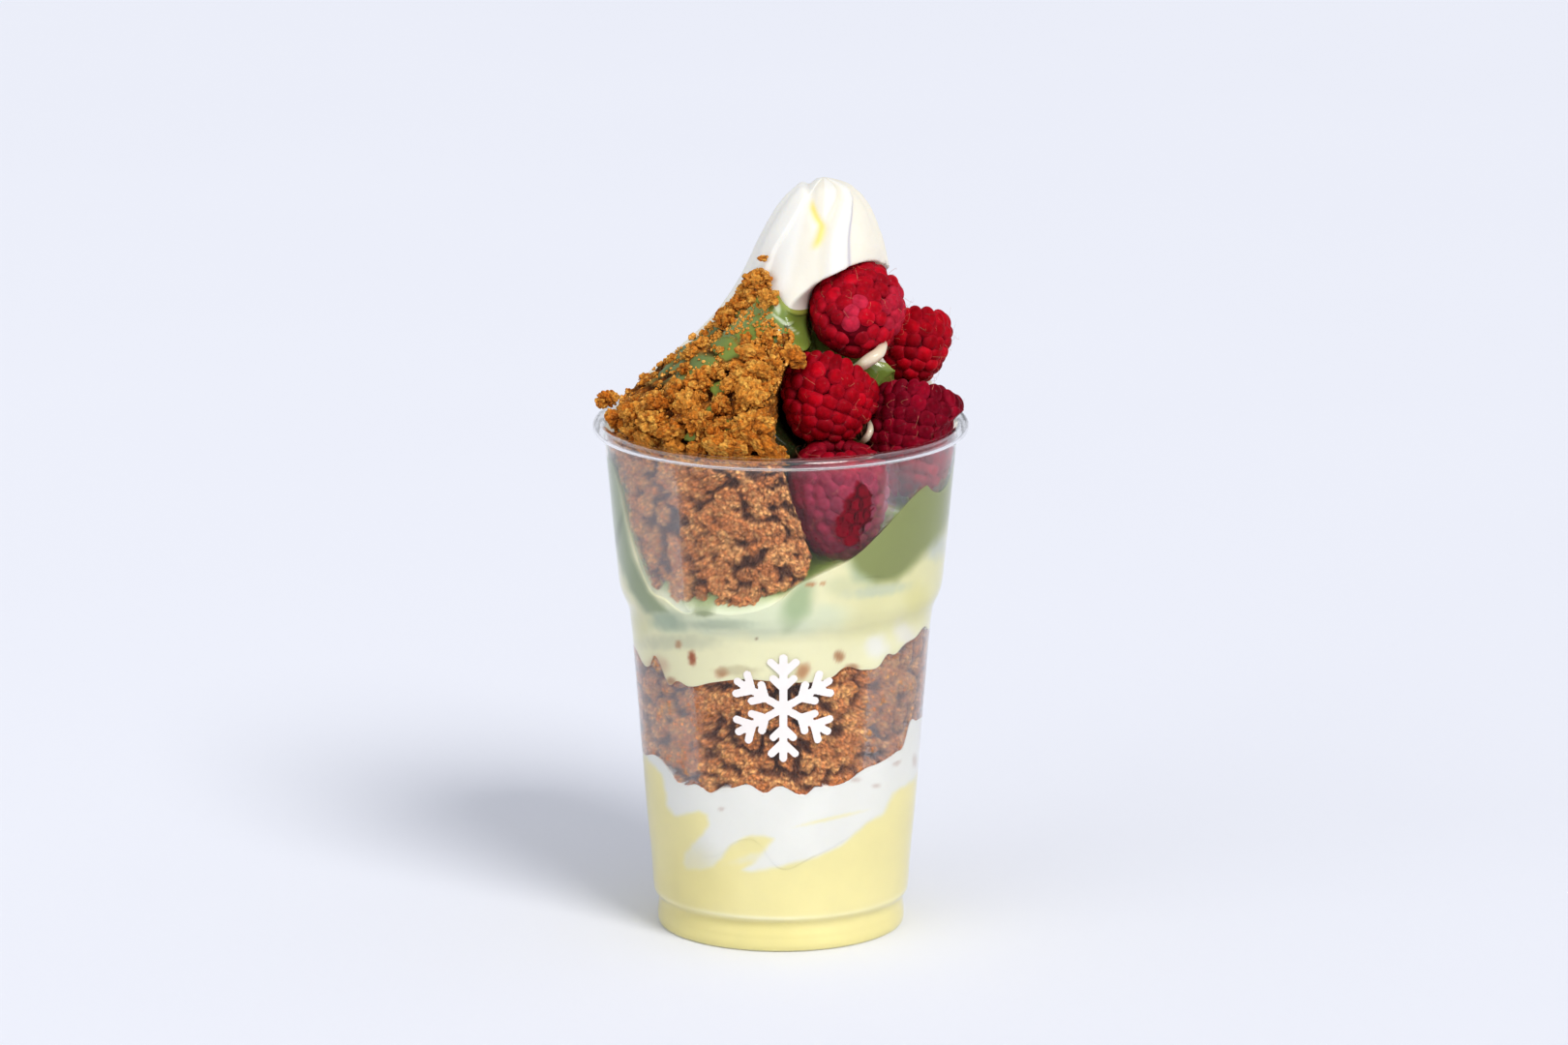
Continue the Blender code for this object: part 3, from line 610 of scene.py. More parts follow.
def paint_creams(points, colour, top_layer):
    """The soft colour changes, tongues and specks seen through the wall over a layer's own colour, a painted
    highlight ring at the foot's step, and painted highlights and a painted shadow in the top layer's hollow.
    """
    paint = np.broadcast_to(colour, points.shape).copy()
    a, z = wall_place(points)
    radius = np.hypot(points[:, 0], points[:, 1])
    low = z < 47
    side = smooth((84 - np.abs(a)) / 5) * low
    paint = blend(paint, blend(YELLOW, WHITE, region(points, WHITE_AREA, 3.2)), side)
    paint = blend(paint, rgb(236, 224, 146), 0.6 * smooth((8.6 - z) / 1.0) * (z < 20))
    # painted highlight: a bright ring along the foot's step
    paint = blend(paint, rgb(255, 252, 222), 0.7 * np.exp(-((z - 9.3) / 0.55) ** 2))
    paint = blend(paint, rgb(250, 240, 176), 0.5 * spot(points, 880, 945, 60, 30, 20, 1.5) * low)
    paint = blend(paint, rgb(232, 220, 148), 0.5 * spot(points, 715, 915, 36, 30, 0, 1.5) * low)
    paint = blend(paint, YELLOW, 0.55 * spot(points, 858, 846, 32, 1.8, 13, 1.0) * low)
    paint = blend(paint, WHITE, 0.5 * spot(points, 800, 882, 40, 5, 12, 1.0) * low)
    for where in YELLOW_SPECKS:
        paint = blend(paint, rgb(196, 174, 160), 0.55 * spot(points, *where, 1.3) * low)
    high = z > 60
    right = smooth((a - 10) / 25) * smooth((z - 78) / 8) * smooth((120 - a) / 20) * (z > 70)
    paint = blend(paint, rgb(234, 230, 178), right)
    paint = blend(paint, rgb(226, 233, 202), 0.9 * spot(points, 765, 638, 100, 20, 0, 0.9) * high)
    for u, v, wide, tall, tilt, tone, share in (
        (688, 641, 18, 9, -15, rgb(166, 184, 156), 0.8), (727, 633, 9, 4, 0, rgb(136, 148, 104), 0.7),
        (745, 645, 30, 5, 0, rgb(184, 196, 168), 0.7), (824, 624, 13, 24, -25, rgb(168, 188, 142), 0.85),
        (700, 664, 40, 7, 0, rgb(206, 208, 176), 0.7), (870, 605, 16, 10, 0, rgb(216, 218, 176), 0.7),
        (966, 562, 11, 15, -20, rgb(198, 206, 198), 0.8), (908, 610, 30, 6, 8, rgb(204, 212, 186), 0.8),
        (905, 668, 11, 12, 20, rgb(242, 241, 232), 0.9), (934, 655, 9, 13, 30, rgb(240, 237, 226), 0.8),
        (664, 640, 10, 22, -15, rgb(226, 222, 165), 0.6), (948, 622, 12, 18, 0, rgb(228, 222, 150), 0.6),
        (701, 666, 3, 4, 0, rgb(176, 110, 66), 0.6), (715, 680, 3.4, 7, 5, rgb(160, 78, 38), 0.95),
        (746, 695, 6, 5, 0, rgb(172, 110, 70), 0.8), (679, 690, 11, 10, 30, rgb(196, 152, 120), 0.6),
        (693, 704, 5, 4, 0, rgb(150, 84, 50), 0.6), (867, 678, 5, 5, 40, rgb(170, 112, 70), 0.8),
        (829, 694, 8, 6, 60, rgb(186, 128, 80), 0.8), (762, 693, 20, 5, 0, rgb(196, 186, 146), 0.6),
        (880, 690, 7, 4, 0, rgb(160, 96, 56), 0.6), (782, 660, 1.5, 1.5, 0, rgb(120, 90, 60), 0.6),
        (838, 604, 4.5, 2.2, 0, rgb(196, 132, 84), 0.85), (850, 603, 3, 2, 0, rgb(200, 146, 98), 0.8),
        (893, 590, 16, 12, -35, rgb(176, 194, 160), 0.7),
    ):
        paint = blend(paint, tone, share * spot(points, u, v, wide, tall, tilt, 1.2) * high)
    paint = blend(paint, GREEN, region(points, GREEN_WEDGE, 7.0) * high)
    paint = blend(paint, rgb(156, 170, 130), region(points, LEFT_GREEN, 4.0) * high)
    paint = blend(paint, rgb(112, 128, 88), 0.7 * spot(points, 639, 553, 2.5, 24, -12, 1.0) * high)
    behind = smooth((np.abs(a) - 84) / 14) * smooth((z - PALE_TOP(a) + 3) / 6) * (z > 75)
    paint = blend(paint, GREEN, behind)
    if top_layer:
        hollow = smooth((soaked(z) - radius - 0.4) / 1.0)
        paint = blend(paint, rgb(146, 170, 78), hollow)
        # painted highlights: small glossy glints on the hollow's cream
        for where in HOLLOW_HIGHLIGHTS:
            paint = blend(paint, rgb(226, 232, 206), 0.9 * spot(points, *where, 1.0) * hollow)
        # painted shadow: a dark patch on the cream in the hollow below the raspberries
        paint = blend(paint, rgb(46, 54, 26), spot(points, 812, 446, 16, 26, 0, 0.8) * hollow)
    return paint


def make_creams():
    look = cream_look("cream", 90, (0.32, 0.42), 0.035, 0.00002, Subsurface_Weight=0.12,
                      Subsurface_Radius=(1.0, 0.8, 0.5), Subsurface_Scale=0.002)
    yellow_top = spread(YELLOW_TOP, 32.0)
    layers = (
        ("yellow_cream", foot_floor, yellow_top, 74, YELLOW),
        ("white_yogurt", spread(YELLOW_TOP, 32.0, -0.15), spread(BAND_BOTTOM, 45.0), 42, WHITE),
        ("pale_cream", spread(BAND_TOP, 73.0), spread(PALE_TOP, 98.0), 52, PALE),
        ("pistachio_cream", spread(PALE_TOP, 98.0, -0.15), green_top, 40, PALE),
    )
    for name, bottom, top, rows, colour in layers:
        points = layer_points(bottom, top, rows, turns(200, 20), None, 12 if top is green_top else 6)
        verts, faces = wrapped(points)
        paint = paint_creams(verts, colour, name == "pistachio_cream")
        piece(name, verts, faces, look, [name], paint)


def crumbled(points, size, seed):
    """Lumps pressed together: 1 on a lump's face and 0 in the crevices, and each lump's own tone."""
    bent = points + 0.9 * np.stack([noise(points, 2.2, seed + k) for k in range(3)], -1)
    near, second, tone = cells(bent, size, seed)
    return smooth((second - near) / 0.3), tone


def granules(points, size, seed):
    """Rounded grains packed on a surface: 1 on top of each and 0 between them, and each one's tone."""
    near, second, tone = cells(points, size, seed)
    return np.clip((second - near) / 0.45, 0, 1) ** 0.6, tone


def crumb_relief(points, seed, deep):
    """How far a crumb surface lies in, in millimetres, with what its paint needs."""
    big, big_tone = crumbled(points, 6.0, seed)
    middle, middle_tone = crumbled(points, 2.6, seed + 1)
    fine, fine_tone = granules(points, 1.15, seed + 2)
    pits = smooth(0.5 + 1.6 * noise(points, 4.5, seed + 3))
    holes = smooth((noise(points, 1.9, seed + 4) - 0.38) / 0.2)
    inset = deep * (1 - big) * pits + 0.75 * (1 - middle) * mix(0.35, 1, pits)
    inset = inset + 0.4 * (1 - fine) + 0.7 * holes
    swell = 0.5 * noise(points, 3.4, seed + 5)
    return inset - swell, 0.5 * big_tone + 0.5 * middle_tone, fine, fine_tone


def crumb_colours(dark, plain, bright, relief):
    """Crumb paint from its relief: painted shade in the pits and between the grains, plain on most grains and
    bright on some.
    """
    inset, tone, fine, fine_tone = relief
    lively = np.clip(0.55 * tone + 0.45 * fine_tone, 0, 1)
    paint = blend(plain, bright, smooth((lively - 0.3) / 0.5))
    # painted shade between the grains, then in the deep pits
    paint = blend(paint, dark, 0.55 * (1 - fine) * smooth(0.4 + fine_tone))
    return blend(paint, dark, 0.9 * smooth((inset - 0.55) / 1.3))


def band_inset(angle, z, share):
    points = at(inner_wall(z), angle, z)
    edge = smooth(share / 0.04) * smooth((1 - share) / 0.04)
    return (0.15 + np.maximum(crumb_relief(points, 1, 1.9)[0], 0)) * edge


def ragged(angle, seed):
    """The crumbly wandering of the band's edges."""
    p = at(36.0, angle, 60.0)
    wide = 1.1 * noise(p, 5.0, seed + 2) + 0.8 * noise(p, 2.0, seed)
    return wide + 0.5 * (0.5 - cells(p, 1.9, seed)[0]) + 0.35 * noise(p, 0.6, seed)


def make_band():
    rough_low = spread(lambda a: BAND_BOTTOM(a) - 0.3 + ragged(a, 4), 45.0)
    rough_high = spread(lambda a: BAND_TOP(a) + 0.3 + ragged(a, 3), 73.0)
    points = layer_points(rough_low, rough_high, 104, turns(356, 50), band_inset, 4)
    verts, faces = wrapped(points)
    flat = verts.copy()
    flat[:, :2] *= (inner_wall(verts[:, 2]) / np.maximum(np.hypot(verts[:, 0], verts[:, 1]), 1e-6))[:, None]
    relief = crumb_relief(flat, 1, 1.9)
    paint = crumb_colours(rgb(80, 44, 30), rgb(208, 128, 70), rgb(255, 190, 114), relief)
    across, z = wall_place(verts)
    edge = np.minimum(z - BAND_BOTTOM(across), BAND_TOP(across) - z)
    paint = blend(paint, rgb(152, 80, 44), 0.5 * smooth((1.2 - edge) / 1.2))
    # painted shade: the band made darker towards its right side
    paint = paint * (1 - 0.10 * smooth((across - 25) / 20) * (across < 120))[:, None]
    look = crumb_look("band_crumb", 0.42, 0.0004, 0.85, (0.72, 0.42, 0.24, 1))
    piece("crumb_band", verts, faces, look, ["crumb_band"], paint, np.zeros(len(verts)))


# Soft-serve peak

SWIRL_LINE = curve([
    (PLATEAU, 43.6), (128, 44.0), (131.5, 43.4), (134, 41.5), (139, 37), (147, 29.5), (158, 22.0),
    (166, 18.4), (171, 16.6), (177.5, 14.6), (182.4, 12.6), (186.5, 10.4), (189.5, 8.0), (191.6, 5.2),
    (193, 0.4),
])
PEAK_TOP = 193.0
AXIS_LEAN = curve([(118, 0), (131, 0.0), (145, 3.6), (160, 7.6), (170, 9.2), (182, 10.3), (193, 10.8)])
POCKET_RADIUS = curve([(118, 26.8), (131, 26.2), (146, 24.6), (158, 22.0), (193, 22.0)])
FOLD_EDGE = curve([
    (118, 40), (150, 30), (170.5, 27.6), (176, 27), (183.4, 34), (187, 45), (189.5, 57), (193, 70),
])
FLAP_EDGE = curve([
    (118, -60), (160, -52), (172, -48.7), (176.5, -47.6), (181, -40.6), (186.8, -33), (190, -30), (193, -26),
])
GROOVE = curve([
    (118, 4), (150, 4), (178, -6), (180.7, -2), (183, -1.6), (184.6, -7.6), (187.6, -17), (193, -24),
])

# The sauce's upper edge, as angle and height
SAUCE_TOP = curve([
    (-92, 138), (-84, 146), (-60, 156), (-45, 164), (-32, 167), (-21, 164.2), (-9, 162), (-2, 160.5),
    (12, 158.5), (22, 157), (34, 155), (60, 149.5), (78, 146), (95, 142),
])


def sauce_edge(angle):
    """The height of the sauce's uneven upper edge."""
    angle = np.clip(angle, -92, 95)
    return SAUCE_TOP(angle) + 1.2 * noise(at(20.0, angle, 150.0), 6, 4)


ROOM_GAP = 0.45


def berry_frame(index):
    """A raspberry's oval: its centre, the matrix into its own axes, and its half sizes."""
    _, centre, up, length, width, _, _ = BERRIES[index]
    turn = np.array(Vector(up).to_track_quat("Z", "Y").to_matrix())
    return np.array(centre), turn.T, np.array((width * 0.515, width * 0.515, length / 2))


def berry_hit(index, start, direction, gap=ROOM_GAP):
    """How far along a line a raspberry's room begins, and the share of it that counts near its rim."""
    centre, turn, half = berry_frame(index)
    half = half + np.asarray(gap)[..., None]
    o = (start - centre) @ turn.T / half
    d = direction @ turn.T / half
    a, b, c = np.sum(d * d, -1), np.sum(o * d, -1), np.sum(o * o, -1) - 1
    inside = b * b - a * c
    hit = (-b - np.sqrt(np.maximum(inside, 0))) / a
    return hit, smooth(inside / a / 0.3) * (hit > 0)


def under_berry(index, x, y, z):
    """A height, lowered to just above a raspberry's underside."""
    start = np.stack(np.broadcast_arrays(x, y, 60.0), -1).astype(float)
    hit, share = berry_hit(index, start, np.array((0.0, 0.0, 1.0)))
    return mix(z, np.minimum(z, 60.2 + hit), share)


def pressed(angle, z, radius, gap=ROOM_GAP):
    """A radius round the peak's axis, drawn in where the raspberries press."""
    start = at(0.0, angle, z, AXIS_LEAN(z))
    direction = at(1.0, angle, z * 0)
    for index in range(len(BERRIES)):
        hit, share = berry_hit(index, start, direction, gap)
        near = smooth(0.5 + (radius - hit) / 1.6) * share
        radius = mix(radius, np.minimum(hit, radius), near)
    return radius


def front_pocket(angle):
    return smooth((angle + 84) / 15) * smooth((78 - angle) / 15)


def berry_recess(angle, z):
    side = smooth((angle - 2) / 28) * smooth((92 - angle) / 28)
    return side * smooth((172 - z) / 12) * smooth((z - 124) / 8)


def wrap_angle(angle):
    return (np.asarray(angle) + 180) % 360 - 180


def peak_front(angle):
    return smooth((angle + 95) / 30) * smooth((100 - angle) / 30)


def swirl_radius(angle, z):
    """The peak's radius round its leaning axis: nozzle flutes behind, and the folds of the photo in front."""
    angle = wrap_angle(angle)
    radius = SWIRL_LINE(z)
    radius = mix(radius, np.minimum(radius, POCKET_RADIUS(z)), front_pocket(angle))
    radius = radius * (1 - 0.5 * berry_recess(angle, z))
    turned = np.radians(8 * (angle - 34.0 * (z - RIM_Z) / (PEAK_TOP - RIM_Z)))
    groove = 1 - np.abs(np.sin(turned / 2)) ** 0.8
    high = smooth((z - RIM_Z - 2) / 12) * smooth((PEAK_TOP + 1 - z) / 6)
    front = peak_front(angle) * smooth((z - 150) / 12)
    radius = radius * (1 + (0.6 - 1.6 * groove) * 0.13 * high * (1 - front))
    tip = smooth((194.5 - z) / 4)
    fold = np.exp(-((angle - FOLD_EDGE(z) + 10) / 10.0) ** 4) * smooth((FOLD_EDGE(z) + 2.2 - angle) / 3.2)
    flap = smooth((FLAP_EDGE(z) + 2.5 - angle) / 4.5) * smooth((angle - FLAP_EDGE(z) + 48) / 30)
    dent = np.exp(-((angle - GROOVE(z)) / 9.0) ** 2)
    beside = np.exp(-((angle - FOLD_EDGE(z) + 27) / 7.5) ** 2) * smooth((z - 160) / 12)
    lobe = np.exp(-((angle + 24) / 15.0) ** 2)
    relief = 0.8 * fold + 0.9 * flap - 0.7 * dent - 0.8 * beside + 0.35 * lobe
    under_sauce = smooth((sauce_edge(angle) - 0.7 - z) / 3) * front_pocket(angle)
    return pressed(angle, z, radius + front * tip * relief, mix(1.0, 2.2, under_sauce)) - 0.9 * under_sauce


def swirl_point(angle, z):
    radius = swirl_radius(angle, z)
    inside = smooth((RIM_Z - z) / 0.5)
    radius = np.where(inside > 0, np.minimum(radius, soaked(z)), radius)
    return at(radius, angle, z, AXIS_LEAN(z))


def make_swirl():
    angle = turns(200, 40)
    share = np.linspace(0, 1, 140)[:, None] ** 0.8
    rho = np.minimum(swirl_radius(angle, PLATEAU) / inner_wall(PLATEAU), 1.0)
    low = green_top(rho, angle, -0.1)
    z = mix(low, PEAK_TOP - 0.12, share)
    side = swirl_point(angle, z)
    wrinkle = 0.10 * noise(side * np.array((0.35, 0.35, 1.6)), 1.3, 3)
    wrinkle = wrinkle * smooth((angle - 30) / 8) * smooth((z - 160) / 8)
    soft = 0.22 * noise(side, 7, 2) * smooth((z - 133) / 4)
    side += at(wrinkle + soft, angle, 0.0) * np.array((1, 1, 0))
    notch = np.exp(-((side[..., 0] - 7.2) / 1.0) ** 2) * smooth((z - 189) / 3)
    side[..., 2] -= 1.4 * notch
    cap = np.linspace(0.05, 0.98, 6)[:, None]
    under = at(cap * swirl_radius(angle, low), angle, green_top(cap * rho, angle, -0.1))
    verts, faces = wrapped(np.concatenate([under, side]))
    a, z = np.degrees(np.arctan2(verts[:, 0] - AXIS_LEAN(verts[:, 2]), -verts[:, 1])), verts[:, 2]
    paint = np.broadcast_to(rgb(246, 244, 236), verts.shape)
    beyond = smooth((a - FOLD_EDGE(z) - 1) / 3) * smooth((a + 5) / 10) * (a < 140)
    paint = blend(paint, rgb(247, 241, 224), beyond)
    paint = blend(paint, rgb(250, 244, 222), 0.8 * smooth((168 - z) / 14))
    # painted shade in the groove beside the fold
    valley_shade = np.exp(-((a - FOLD_EDGE(z) + 27) / 6.5) ** 2) * smooth((z - 160) / 8)
    paint = blend(paint, rgb(240, 234, 214), 0.9 * valley_shade)
    centre = smooth((a + 30) / 12) * smooth((6 - a) / 8) * smooth((z - 150) / 10)
    paint = blend(paint, rgb(238, 233, 218), centre)
    streak = np.exp(-((a - GROOVE(z) - 0.5) / 4.6) ** 2) * smooth((z - 176.5) / 3) * smooth((189.5 - z) / 3)
    paint = blend(paint, rgb(246, 226, 118), 0.9 * streak)
    # painted shade: a grey-violet line along the fold's edge
    edge_shade = np.exp(-((a - FOLD_EDGE(z) - 1.2) / 2.0) ** 2) * smooth((z - 150) / 10)
    paint = blend(paint, rgb(196, 190, 200), 0.7 * edge_shade)
    look = cream_look("soft_serve", 120, (0.34, 0.5), 0.02, 0.00004, Subsurface_Weight=0.3,
                      Subsurface_Radius=(1.0, 0.85, 0.6), Subsurface_Scale=0.003)
    piece("soft_serve", verts, faces, look, ["swirl"], paint)


# Sauce

def sauce_ridge(angle, z):
    """The raised glossy fold that runs down to the right across the sauce."""
    along = (angle + 6) / 28
    line = mix(160.5, 151.5, along)
    return np.exp(-((z - line) / 0.9) ** 2) * smooth(along / 0.15) * smooth((1.15 - along) / 0.2)


def softened(field, reach):
    """A grid of values, each averaged with its neighbours three times over."""
    weights = np.ones(2 * reach + 1) / (2 * reach + 1)
    for axis in (0, 1) * 3:
        field = np.apply_along_axis(np.pad, axis, field, reach, mode="edge")
        field = np.apply_along_axis(np.convolve, axis, field, weights, mode="valid")
    return field


def make_sauce():
    angle = np.linspace(-82, 90, 240)[None]
    share = np.linspace(0, 1, 150)[:, None]
    edge = sauce_edge(angle)
    z = mix(119.4, edge, share)
    side = np.minimum(angle + 82, 90 - angle) * 0.35
    inward = np.minimum((edge - z), side)
    thick = 2.15 * smooth(inward / 1.3) ** 0.6
    points = at(swirl_radius(angle, z), angle, z, AXIS_LEAN(z))
    thick = thick + 0.3 * noise(points, 6, 8) + 0.9 * sauce_ridge(angle, z)
    radius = pressed(angle, z, swirl_radius(angle, z) + thick, 0.9)
    radius = np.maximum(radius, swirl_radius(angle, z) + np.minimum(thick, 1.1) - 0.1)
    radius = np.maximum(softened(radius, 4), swirl_radius(angle, z) + 0.15)
    radius = np.minimum(radius, inner_wall(np.minimum(z, 120)) - 1.0)
    verts = at(radius, angle, z, AXIS_LEAN(z)).reshape(-1, 3)
    a = np.broadcast_to(angle, z.shape).ravel()
    h = z.ravel()
    paint = np.broadcast_to(rgb(124, 146, 62), verts.shape)
    paint = blend(paint, rgb(178, 186, 84), smooth((2.4 - inward.ravel()) / 2.4) * 0.7)
    paint = blend(paint, rgb(104, 126, 80), 0.7 * smooth((-35 - a) / 20))
    # painted highlight along the raised ridge
    paint = blend(paint, rgb(150, 170, 120), 0.5 * sauce_ridge(a, h))
    # painted shadow: the sauce's lower middle, between the heap and the raspberries, made dark
    paint = blend(paint, rgb(34, 42, 20), smooth((143 - h) / 7) * smooth((a + 14) / 6) * smooth((28 - a) / 8))
    paint = blend(paint, rgb(216, 222, 176), 0.8 * spot(verts, 893, 445, 6, 12, -20, 0.8))
    # painted highlights: two glossy streaks on the sauce
    for where in ((811, 334.5, 1.8, 17, 52), (803, 317, 3.2, 7.5, 14)):
        paint = blend(paint, rgb(222, 232, 206), 0.85 * spot(verts, *where, 0.9))
    look = cream_look("green_sauce", 150, (0.12, 0.24), 0.08, 0.00003, Coat_Weight=0.5, Coat_Roughness=0.06,
                      Subsurface_Weight=0.12, Subsurface_Radius=(0.6, 1.0, 0.3), Subsurface_Scale=0.0015)
    piece("green_sauce", verts, grid_faces(150, 240, False), look, (), paint)


# Crumb heap

HEAP_CENTRE = (-36.0, 126.0)
HEAP_OUTLINE = [
    (-71, 121), (-63, 107), (-52, 93.6), (-36, 89.6), (-12, 91.4), (1, 96.5), (11, 102), (9, 109), (5, 117),
    (2, 124), (0, 130), (-3, 135), (-6, 139), (-9, 144), (-8, 151), (-9, 156), (-22, 159), (-31, 163),
    (-38, 168.5), (-52, 171), (-68, 168), (-80, 160), (-86, 150), (-90, 142), (-89, 134), (-82, 127),
]
DEGREE_ARC = 0.62
OUTLINE = ring([
    (math.degrees(math.atan2(z - HEAP_CENTRE[1], (a - HEAP_CENTRE[0]) * DEGREE_ARC)),
     math.hypot((a - HEAP_CENTRE[0]) * DEGREE_ARC, z - HEAP_CENTRE[1])) for a, z in HEAP_OUTLINE
])


def heap_inner(angle, z):
    wall = GREEN_TOP(angle)
    share = np.clip((z - wall) / np.maximum(PLATEAU - wall, 1.0), 0, 1)
    return np.where(z < PLATEAU, inner_wall(z) * (1 - POCKET_SPAN * share), swirl_radius(angle, z))


def heap_slope(z):
    """The heap's outer radius without its crumbs."""
    inside = inner_wall(np.minimum(z, RIM_Z - 3)) - mix(0.15, 2.5, smooth((z - RIM_Z + 2.6) / 2.6))
    cover = mix(3.2, 1.5, smooth((z - 148) / 10))
    slope = SWIRL_LINE(z) + cover
    return mix(inside, np.minimum(slope, inside), smooth((z - RIM_Z + 2.5) / 3))


def heap_points(segments, rings):
    turn = np.linspace(0, 360, segments + 1)[:-1][None]
    sides = 28
    turned_in = np.linspace(0.998, 0.93, sides)
    share = np.concatenate([np.linspace(0.01, 1, rings), turned_in, (0.85, 0.5, 0.1)])[:, None]
    depth = np.concatenate([np.zeros(rings), np.linspace(0.03, 1, sides), (1, 1, 1)])[:, None]
    edge = 1 + 0.035 * noise(at(30, turn, 5.0), 2.4, 2) + 0.02 * noise(at(30, turn, 9.0), 1.0, 3)
    a = np.radians(turn)

    def place(reach):
        angle = HEAP_CENTRE[0] + reach * np.cos(a) / DEGREE_ARC
        z = HEAP_CENTRE[1] + reach * np.sin(a)
        outer, inner = heap_slope(z), heap_inner(angle, z) - 2.5
        return angle, z, np.maximum(outer, inner + 0.6), inner

    reach = OUTLINE(turn) * edge * share
    angle, z, outer, inner = place(reach)
    above = smooth((z - RIM_Z + 1.5) / 3)
    middle = mix(outer, inner, depth)
    relief = crumb_relief(at(middle, angle, z), 11, mix(1.7, 2.6, above))
    dry = 1 - heap_wet(angle, z)
    inset = np.maximum(relief[0], mix(0, -1.0, above)) * dry
    side = smooth((share - 0.9) / 0.08) * above
    angle, z, outer, inner = place(reach - np.clip(inset, -0.6, 2.0) * side * 0.8)
    fade = np.maximum(smooth((1 - share) / 0.03), above * 0.7)
    outer = np.maximum(outer - inset * fade - 1.2 * (1 - fade), inner + 0.6)
    points = at(mix(outer, inner, depth), angle, z, AXIS_LEAN(z) * smooth((z - 120) / 20))
    return points, angle, z, relief


SAUCE_PATCHES = (
    (778, 343, 20, 9, 20), (750, 360, 16, 12, -20), (725, 378, 15, 14, 40), (702, 399, 8, 14, 0),
    (742, 402, 10, 8, 0), (748, 442, 9, 7, 0), (760, 322, 8, 6, 0), (790, 318, 14, 14, 0),
    (712, 452, 6, 5, 0), (735, 425, 6, 5, 0),
)


def heap_wet(angle, z):
    """1 where the sauce shows on the heap between its crumbs."""
    p = at(heap_slope(z), angle, z, AXIS_LEAN(z) * smooth((z - 120) / 20))
    wet = np.zeros(p.shape[:-1])
    for where in SAUCE_PATCHES:
        wet = np.maximum(wet, spot(p, *where, 0.35))
    left = smooth((-62 - angle) / 6) * smooth((z - 140) / 6) * smooth(0.5 + 2 * noise(p, 4, 2))
    return np.maximum(wet, left)


GOLD = (rgb(98, 44, 8), rgb(216, 122, 34), rgb(255, 192, 86))
DULL = (rgb(74, 44, 34), rgb(206, 126, 70), rgb(255, 188, 114))


def make_heap():
    points, angle, z, relief = heap_points(500, 100)
    verts, faces = wrapped(points)
    low = smooth((RIM_Z - capped(z)) / 2)
    relief = [capped(np.broadcast_to(part, z.shape)) for part in relief]
    paint = blend(0.82 * crumb_colours(*GOLD, relief), crumb_colours(*DULL, relief), low)
    wet = capped(heap_wet(angle, z))
    sauce = blend(rgb(124, 142, 62), rgb(104, 124, 78), smooth((-40 - capped(angle)) / 25))
    paint = blend(paint, sauce, wet)
    look = crumb_look("heap_crumb", 0.42, 0.0004, 0.9, (0.76, 0.45, 0.24, 1))
    piece("crumb_heap", verts, faces, look, ["crumb_heap"], paint, wet)


def seat(u, v, radius_at):
    """The point that shows at a photo pixel, of a surface given as a radius by angle and height."""
    t = np.linspace(1985, 2110, 2500)[:, None]
    p = EYE + t * view_ray(u, v)
    x = p[:, 0] - AXIS_LEAN(p[:, 2]) * smooth((p[:, 2] - 120) / 20)
    inside = np.hypot(x, p[:, 1]) < radius_at(np.degrees(np.arctan2(x, -p[:, 1])), p[:, 2])
    return p[np.argmax(inside)] if inside.any() else None


# Crumb pieces that stand out: photo pixel, width and height in pixels, tilt
BIG_CRUMBS = [
    (788, 267, 12, 7, 10), (775, 290, 26, 18, 25), (794, 289, 9, 8, 0), (794, 309, 24, 22, -30),
    (763, 314, 20, 16, 20), (750, 330, 26, 22, 30), (726, 354, 16, 13, 0), (714, 366, 22, 15, 20),
    (708, 381, 16, 15, 0), (701, 402, 24, 24, 0), (776, 365, 36, 21, -5), (801, 360, 15, 13, 0),
    (820, 368, 33, 22, -25), (786, 383, 34, 17, -20), (767, 389, 28, 19, 10), (722, 396, 30, 28, 0),
    (712, 416, 28, 34, 0), (722, 434, 30, 28, 0), (776, 409, 36, 32, 0), (790, 402, 19, 18, 0),
    (779, 437, 38, 28, 10), (652, 426, 26, 22, 10), (681, 415, 28, 25, 0), (674, 437, 34, 26, -20),
    (695, 447, 32, 23, 0), (668, 459, 44, 24, -20), (698, 463, 23, 20, 0), (720, 465, 25, 21, 0),
    (750, 462, 48, 30, -15), (786, 459, 62, 21, -38), (739, 448, 20, 23, 0), (708, 477, 34, 12, -8),
    (733, 478, 24, 11, 0), (772, 477, 30, 13, 0), (640, 457, 20, 14, -30), (745, 420, 22, 20, 0),
    (752, 399, 20, 18, 0), (786, 296, 12, 9, 0), (778, 303, 12, 9, 20), (654, 449, 26, 15, -25),
    (676, 470, 26, 13, -14), (693, 475, 24, 13, -8), (722, 481, 24, 10, -4), (748, 481, 26, 10, 0),
    (795, 475, 26, 12, 0), (806, 466, 14, 12, -30), (759, 471, 16, 14, 0), (808, 473, 15, 10, 0),
    (732, 386, 22, 18, 10), (760, 378, 20, 12, 0), (745, 438, 20, 16, 0), (761, 452, 24, 16, -30),
]


def on_heap(angle, z):
    """The radius on which a crumb is seated: the heap's slope, or the sauce beyond the heap's edge."""
    x, y = (angle - HEAP_CENTRE[0]) * DEGREE_ARC, z - HEAP_CENTRE[1]
    inside = np.hypot(x, y) < OUTLINE(np.degrees(np.arctan2(y, x)))
    return np.where(inside, heap_slope(z), swirl_radius(angle, z) + 1.6)


